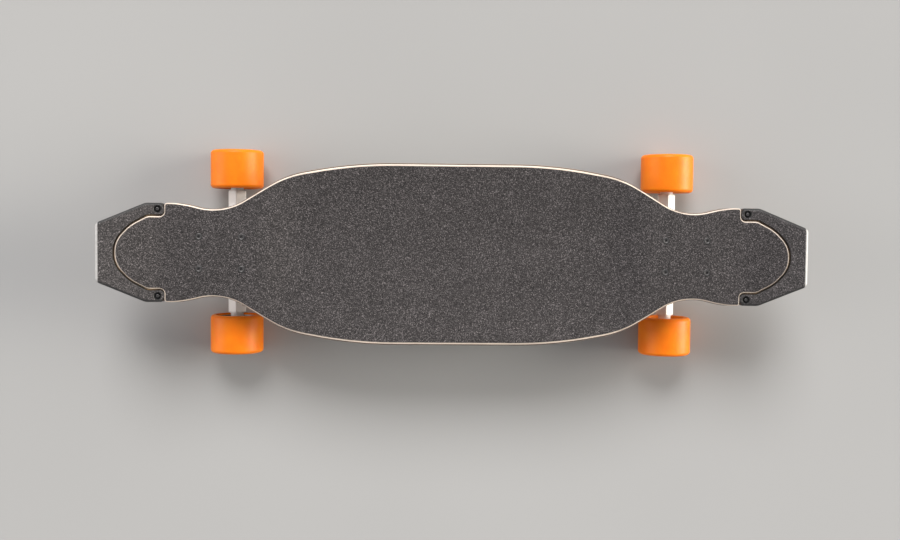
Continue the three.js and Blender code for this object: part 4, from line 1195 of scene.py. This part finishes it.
# Looks by the name of the slot that they fill, or of the second material on a piece.
LOOKS = {
    "grip": grip_look(),
    "bumper_plastic": bumper_look(),
    "maple_plies": maple_look(),
    "wheel_urethane": urethane_look(),
    "white_powder_coat": powder_look(),
    "zinc_steel": metal_look("zinc_steel", (0.62, 0.63, 0.64), 0.22, 0.42),
    "black_steel": metal_look("black_steel", (0.145, 0.14, 0.14), 0.34, 0.52),
    "motor_can": metal_look("motor_can", (0.36, 0.365, 0.375), 0.25, 0.4, 0.5),
    "motor_windings": metal_look("motor_windings", (0.75, 0.34, 0.14), 0.25, 0.4),
    "controller_case": metal_look("controller_case", (0.45, 0.46, 0.48), 0.35, 0.5),
    "tray_plastic": moulded_look("tray_plastic", grey(0.016), grey(0.024), 0.42, 0.62),
    "black_rubber": moulded_look("black_rubber", grey(0.012), grey(0.022), 0.55, 0.8, 0.9, 0.05),
    "bushing_urethane": moulded_look(
        "bushing_urethane", (0.60, 0.57, 0.50), (0.70, 0.67, 0.60), 0.3, 0.45, 2.0),
    "core_plastic": moulded_look(
        "core_plastic", (0.74, 0.73, 0.70), (0.82, 0.81, 0.78), 0.35, 0.5, 1.2),
    "battery_wrap": wrap_look(),
    "nylon_insert": moulded_look(
        "nylon_insert", (0.10, 0.22, 0.50), (0.14, 0.28, 0.58), 0.4, 0.55, 1.0, 0.03),
}


def mark(obj, name, measure):
    """Stores a measure of each point's place, in millimetres, for the materials to use."""
    values = [measure(*(vertex.co / MM)) for vertex in obj.data.vertices]
    attribute = obj.data.attributes.new(name, "FLOAT", "POINT")
    attribute.data.foreach_set("value", values)


def ply_depth(x, y, z):
    """How far a point lies below the deck's top face, as a share of the deck's thickness."""
    return (deck_top(x, y) - z) / THICKNESS


def bumper_depth(x, y, z):
    return ply_depth(x, y, z) + GRIP_TOP / THICKNESS


def end_highlight_mask(x, y, z):
    """Where the painted highlight goes: 1 along the rounded edge of the board's end, fading round
    its corners and down its face.
    """
    along_end = smooth((abs(x) - HALF_LENGTH + 4.0) / 1.0) * smooth((41.0 - abs(y)) / 6.0)
    return along_end * smooth((0.55 - bumper_depth(x, y, z)) / 0.3)


# ---------------------------------------------------------------- putting the pieces on the frame
NODE_BODY = {
    node: body
    for body, nodes in frame["record"]["behaviour"]["bodies"].items()
    for node in nodes
}


def dress(obj, slot, body):
    obj.data.materials.clear()
    obj.data.materials.append(LOOKS[slot])
    if body:
        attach(obj, body)
    return obj


def stand_for(obj, node, slot):
    """obj replaces a CAD node and rides on that node's body."""
    dress(obj, slot, NODE_BODY[node])
    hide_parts(node)
    return obj


def recolour(obj, look, home, chosen):
    """Gives a second material to the faces that are chosen by their centre's distance from the
    axis of the piece's own frame and its level along that axis."""
    back = home.inverted()
    obj.data.materials.append(LOOKS[look])
    for face in obj.data.polygons:
        centre = back @ (face.center / MM)
        if chosen(centre.xy.length, centre.z):
            face.material_index = 1


def add_deck():
    deck = build_deck()
    mark(deck, "depth", ply_depth)
    stand_for(deck, "deck", "maple_plies")
    stand_for(build_grip(), "grip_tape", "grip")
    bumper = build_bumper()
    mark(bumper, "depth", bumper_depth)
    # The mask of the bumper's painted highlight along the board's end.
    mark(bumper, "end_highlight", end_highlight_mask)
    tail = place(copy_of(bumper, "tail_bumper_shape"), turn(180, "Z"))
    stand_for(bumper, "nose_bumper", "bumper_plastic")
    stand_for(tail, "tail_bumper", "bumper_plastic")
    screw = build_button_screw()
    for end, side in (("nose", 1), ("tail", -1)):
        for hand, sign in HANDS:
            node = f"{end}_bumper_screw_{hand}"
            placed = place(copy_of(screw, node + "_shape"), bumper_screw_frame(side, sign))
            stand_for(placed, node, "black_steel")
    bpy.data.objects.remove(screw)


def add_truck_bolts():
    bolt = build_truck_bolt()
    nut = build_lock_nut("bolt_nut", 10.6, 2.4, 5.0, 1.4)
    for truck, side in TRUCKS:
        for i, (x, y) in enumerate(BOLT_GRID):
            node = f"{truck}_truck_bolt_{i + 1}"
            above = shift(side * TRUCK_X + x, y, FLAT_TOP)
            stand_for(place(copy_of(bolt, node + "_shape"), above), node, "black_steel")
            below = shift(side * TRUCK_X + x, y, BOLT_NUT_TOP) @ turn(180, "X")
            lock = place(copy_of(nut, f"{truck}_truck_nut_{i + 1}"), below)
            dress(lock, "zinc_steel", "board")
            recolour(lock, "nylon_insert", below, lambda radius, level: level > 4.3 and radius < 3.9)
    bpy.data.objects.remove(bolt)
    bpy.data.objects.remove(nut)


def add_truck(truck, side):
    tilted = kingpin_frame(side)
    base = cast_copy(f"{truck}_baseplate", f"{truck}_baseplate_casting")
    stand_for(base, f"{truck}_baseplate", "white_powder_coat")
    hanger = cast_copy(f"{truck}_hanger", f"{truck}_hanger_casting")
    stand_for(hanger, f"{truck}_hanger", "white_powder_coat")

    cup = place(build_pivot_cup(f"{truck}_pivot_cup_shape"), tilted)
    stand_for(cup, f"{truck}_pivot_cup", "black_rubber")
    pin = place(build_kingpin(f"{truck}_kingpin_shape"), tilted)
    stand_for(pin, f"{truck}_kingpin", "zinc_steel")
    washer = place(build_washer(f"{truck}_washer_shape", WASHER_LEVEL), tilted)
    stand_for(washer, f"{truck}_bushing_washer", "zinc_steel")
    home = tilted @ shift(0, 0, KINGPIN_NUT_LEVEL)
    nut = place(build_lock_nut(f"{truck}_kingpin_nut_shape", 16, 4.9, 7, 2), home)
    stand_for(nut, f"{truck}_kingpin_nut", "zinc_steel")
    recolour(nut, "nylon_insert", home, lambda radius, level: level > 6.2 and radius < 5.6)

    for where, (low, high) in BUSHING_LEVELS.items():
        node = f"{truck}_{where}_bushing"
        bushing = place(build_bushing(node + "_shape", low, high), tilted)
        dress(bushing, "bushing_urethane", None)
        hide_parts(node)
        bodies = ("board", f"{truck}_hanger")
        if where == "lower":
            bodies = bodies[::-1]
        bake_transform(bushing)


def add_axle(truck, side):
    nut_start = FRONT_NUT_START if side > 0 else REAR_NUT_START
    reach = WHEEL_Y + nut_start + AXLE_PAST_NUT_START
    across = shift(side * AXLE_X, 0, AXLE_Z) @ turn(-90, "X")
    axle = place(build_axle(f"{truck}_axle_shape", reach), across)
    stand_for(axle, f"{truck}_axle", "zinc_steel")
    for hand, sign in HANDS:
        node = f"{truck}_{hand}_axle_nut"
        home = wheel_frame(side, sign) @ shift(0, 0, nut_start)
        nut = place(build_lock_nut(node + "_shape", 14.6, 4.15, 7, 2), home)
        stand_for(nut, node, "zinc_steel")
        recolour(nut, "nylon_insert", home, lambda radius, level: level > 6.2 and radius < 4.9)


def add_front_wheel(hand, sign):
    home = wheel_frame(1, sign)
    tyre = place(build_tyre(f"front_{hand}_tyre_shape", 19.3, 26.0, 13.0), home)
    stand_for(tyre, f"front_{hand}_tyre", "wheel_urethane")
    core = place(build_core(f"front_{hand}_core_shape"), home)
    stand_for(core, f"front_{hand}_wheel_core", "core_plastic")
    for where, low, high in (("inner", -12, -5), ("outer", 5, 12)):
        node = f"front_{hand}_{where}_bearing"
        bearing = place(build_bearing(node + "_shape", low, high), home)
        stand_for(bearing, node, "zinc_steel")
        recolour(bearing, "black_rubber", home, lambda radius, level: 6.6 < radius < 9.3)


def is_winding(radius, level):
    """Whether a face of the stator is on its drum or in one of its slots."""
    return radius > 23.4 or (16.8 < radius < 21.8 and abs(level + 20.1) < 0.4)


def add_motor_wheel(hand, sign):
    home = wheel_frame(-1, sign)
    tyre = place(build_tyre(f"rear_{hand}_tyre_shape", 27.8, 29.2, 23.0), home)
    stand_for(tyre, f"rear_{hand}_motor_tyre", "wheel_urethane")
    rotor = place(build_rotor(f"rear_{hand}_rotor_shape"), home)
    stand_for(rotor, f"rear_{hand}_motor_rotor", "motor_can")
    screws = place(build_rotor_screws(f"rear_{hand}_rotor_screws"), home)
    dress(screws, "black_steel", f"rear_{hand}_wheel")
    stator = place(build_stator(f"rear_{hand}_stator_shape"), home)
    stand_for(stator, f"rear_{hand}_motor_stator", "motor_can")
    recolour(stator, "motor_windings", home, is_winding)


def add_tray():
    stand_for(build_tray(), "battery_tray", "tray_plastic")
    screws = []
    screw = build_flange_screw()
    along, beside = TRAY_HALF_LENGTH + TRAY_SCREW_OUT, TRAY_HALF_WIDTH + TRAY_SCREW_OUT
    spots = [(x, sign * beside) for x in (-140, -70, 0, 70, 140) for sign in (-1, 1)]
    spots += [(sign * along, y) for y in (-36, 36) for sign in (-1, 1)]
    for x, y in spots:
        tilt = deck_frame(x, y).to_3x3().to_4x4()
        home = shift(*on_deck((x, y), TRAY_TOP - FLANGE_THICKNESS)) @ tilt
        screws.append(place(copy_of(screw, "tray_screw"), home))
    bpy.data.objects.remove(screw)
    dress(merged("tray_screws", screws), "zinc_steel", "board")
    stand_for(build_button("power_button_shape"), "power_button", "black_rubber")
    bezel = [(6.5, 0.0), (8.8, 0.0)] + arc((8.2, 0.5), 0.6, 0, 90, 4) + [(7.2, 1.1), (6.5, 0.6)]
    bezel = side_fitting(turned("power_button_bezel", bezel, 64), BUTTON_X)
    dress(bezel, "zinc_steel", "board")
    stand_for(build_socket("charge_socket_shape"), "charge_socket", "black_steel")
    stand_for(build_cover("port_cover_shape"), "charge_port_cover", "black_rubber")
    stand_for(build_gland("lead_gland_shape"), "motor_lead_gland", "black_rubber")
    inside = (("tray_gasket", "black_rubber"), ("battery_pack", "battery_wrap"),
              ("motor_controller", "controller_case"))
    for node, look in inside:
        for slot in frame["nodes"][node].material_slots:
            slot.link = "OBJECT"
            slot.material = LOOKS[look]


# ---------------------------------------------------------------- studio
def add_camera():
    data = bpy.data.cameras.new("camera")
    data.sensor_width = 36
    data.lens = 43.287
    camera = add_object("camera", data)
    camera.location = (-0.05418, 0.04078, 1.49906)
    camera.rotation_euler = tuple(math.radians(a) for a in (-2.4976, -1.9558, 0.5256))
    bpy.context.scene.camera = camera


def add_sun(name, towards, spread, strength, colour):
    """A distant soft light. Its direction points from the board to the light."""
    data = bpy.data.lights.new(name, "SUN")
    data.angle = math.radians(spread)
    data.energy = strength
    data.color = colour
    light = add_object(name, data)
    light.rotation_euler = Vector(towards).to_track_quat("Z", "Y").to_euler()


def add_studio():
    bpy.ops.mesh.primitive_plane_add(size=40, location=(0, 0, 0))
    floor = bpy.context.active_object
    floor.name = "studio_floor"
    floor.data.materials.append(floor_look())
    add_sun("key", (-0.1, 1.0, 0.85), 30, 3.1, (1.0, 0.985, 0.97))
    add_sun("nose_side", (1.0, 0.08, 0.25), 34, 4.2, (1.0, 0.95, 0.84))
    add_sun("tail_side", (-1.0, 0.1, 0.35), 40, 1.1, (1.0, 0.93, 0.88))
    world = bpy.data.worlds.new("studio")
    world.use_nodes = True
    background = world.node_tree.nodes["Background"]
    background.inputs["Color"].default_value = (0.98, 0.98, 1.0, 1)
    background.inputs["Strength"].default_value = 0.36
    bpy.context.scene.world = world
    bpy.context.scene.view_settings.view_transform = "Standard"


add_camera()
add_studio()
add_deck()
add_truck_bolts()
for truck, side in TRUCKS:
    add_truck(truck, side)
    add_axle(truck, side)
for hand, sign in HANDS:
    add_front_wheel(hand, sign)
    add_motor_wheel(hand, sign)
add_tray()
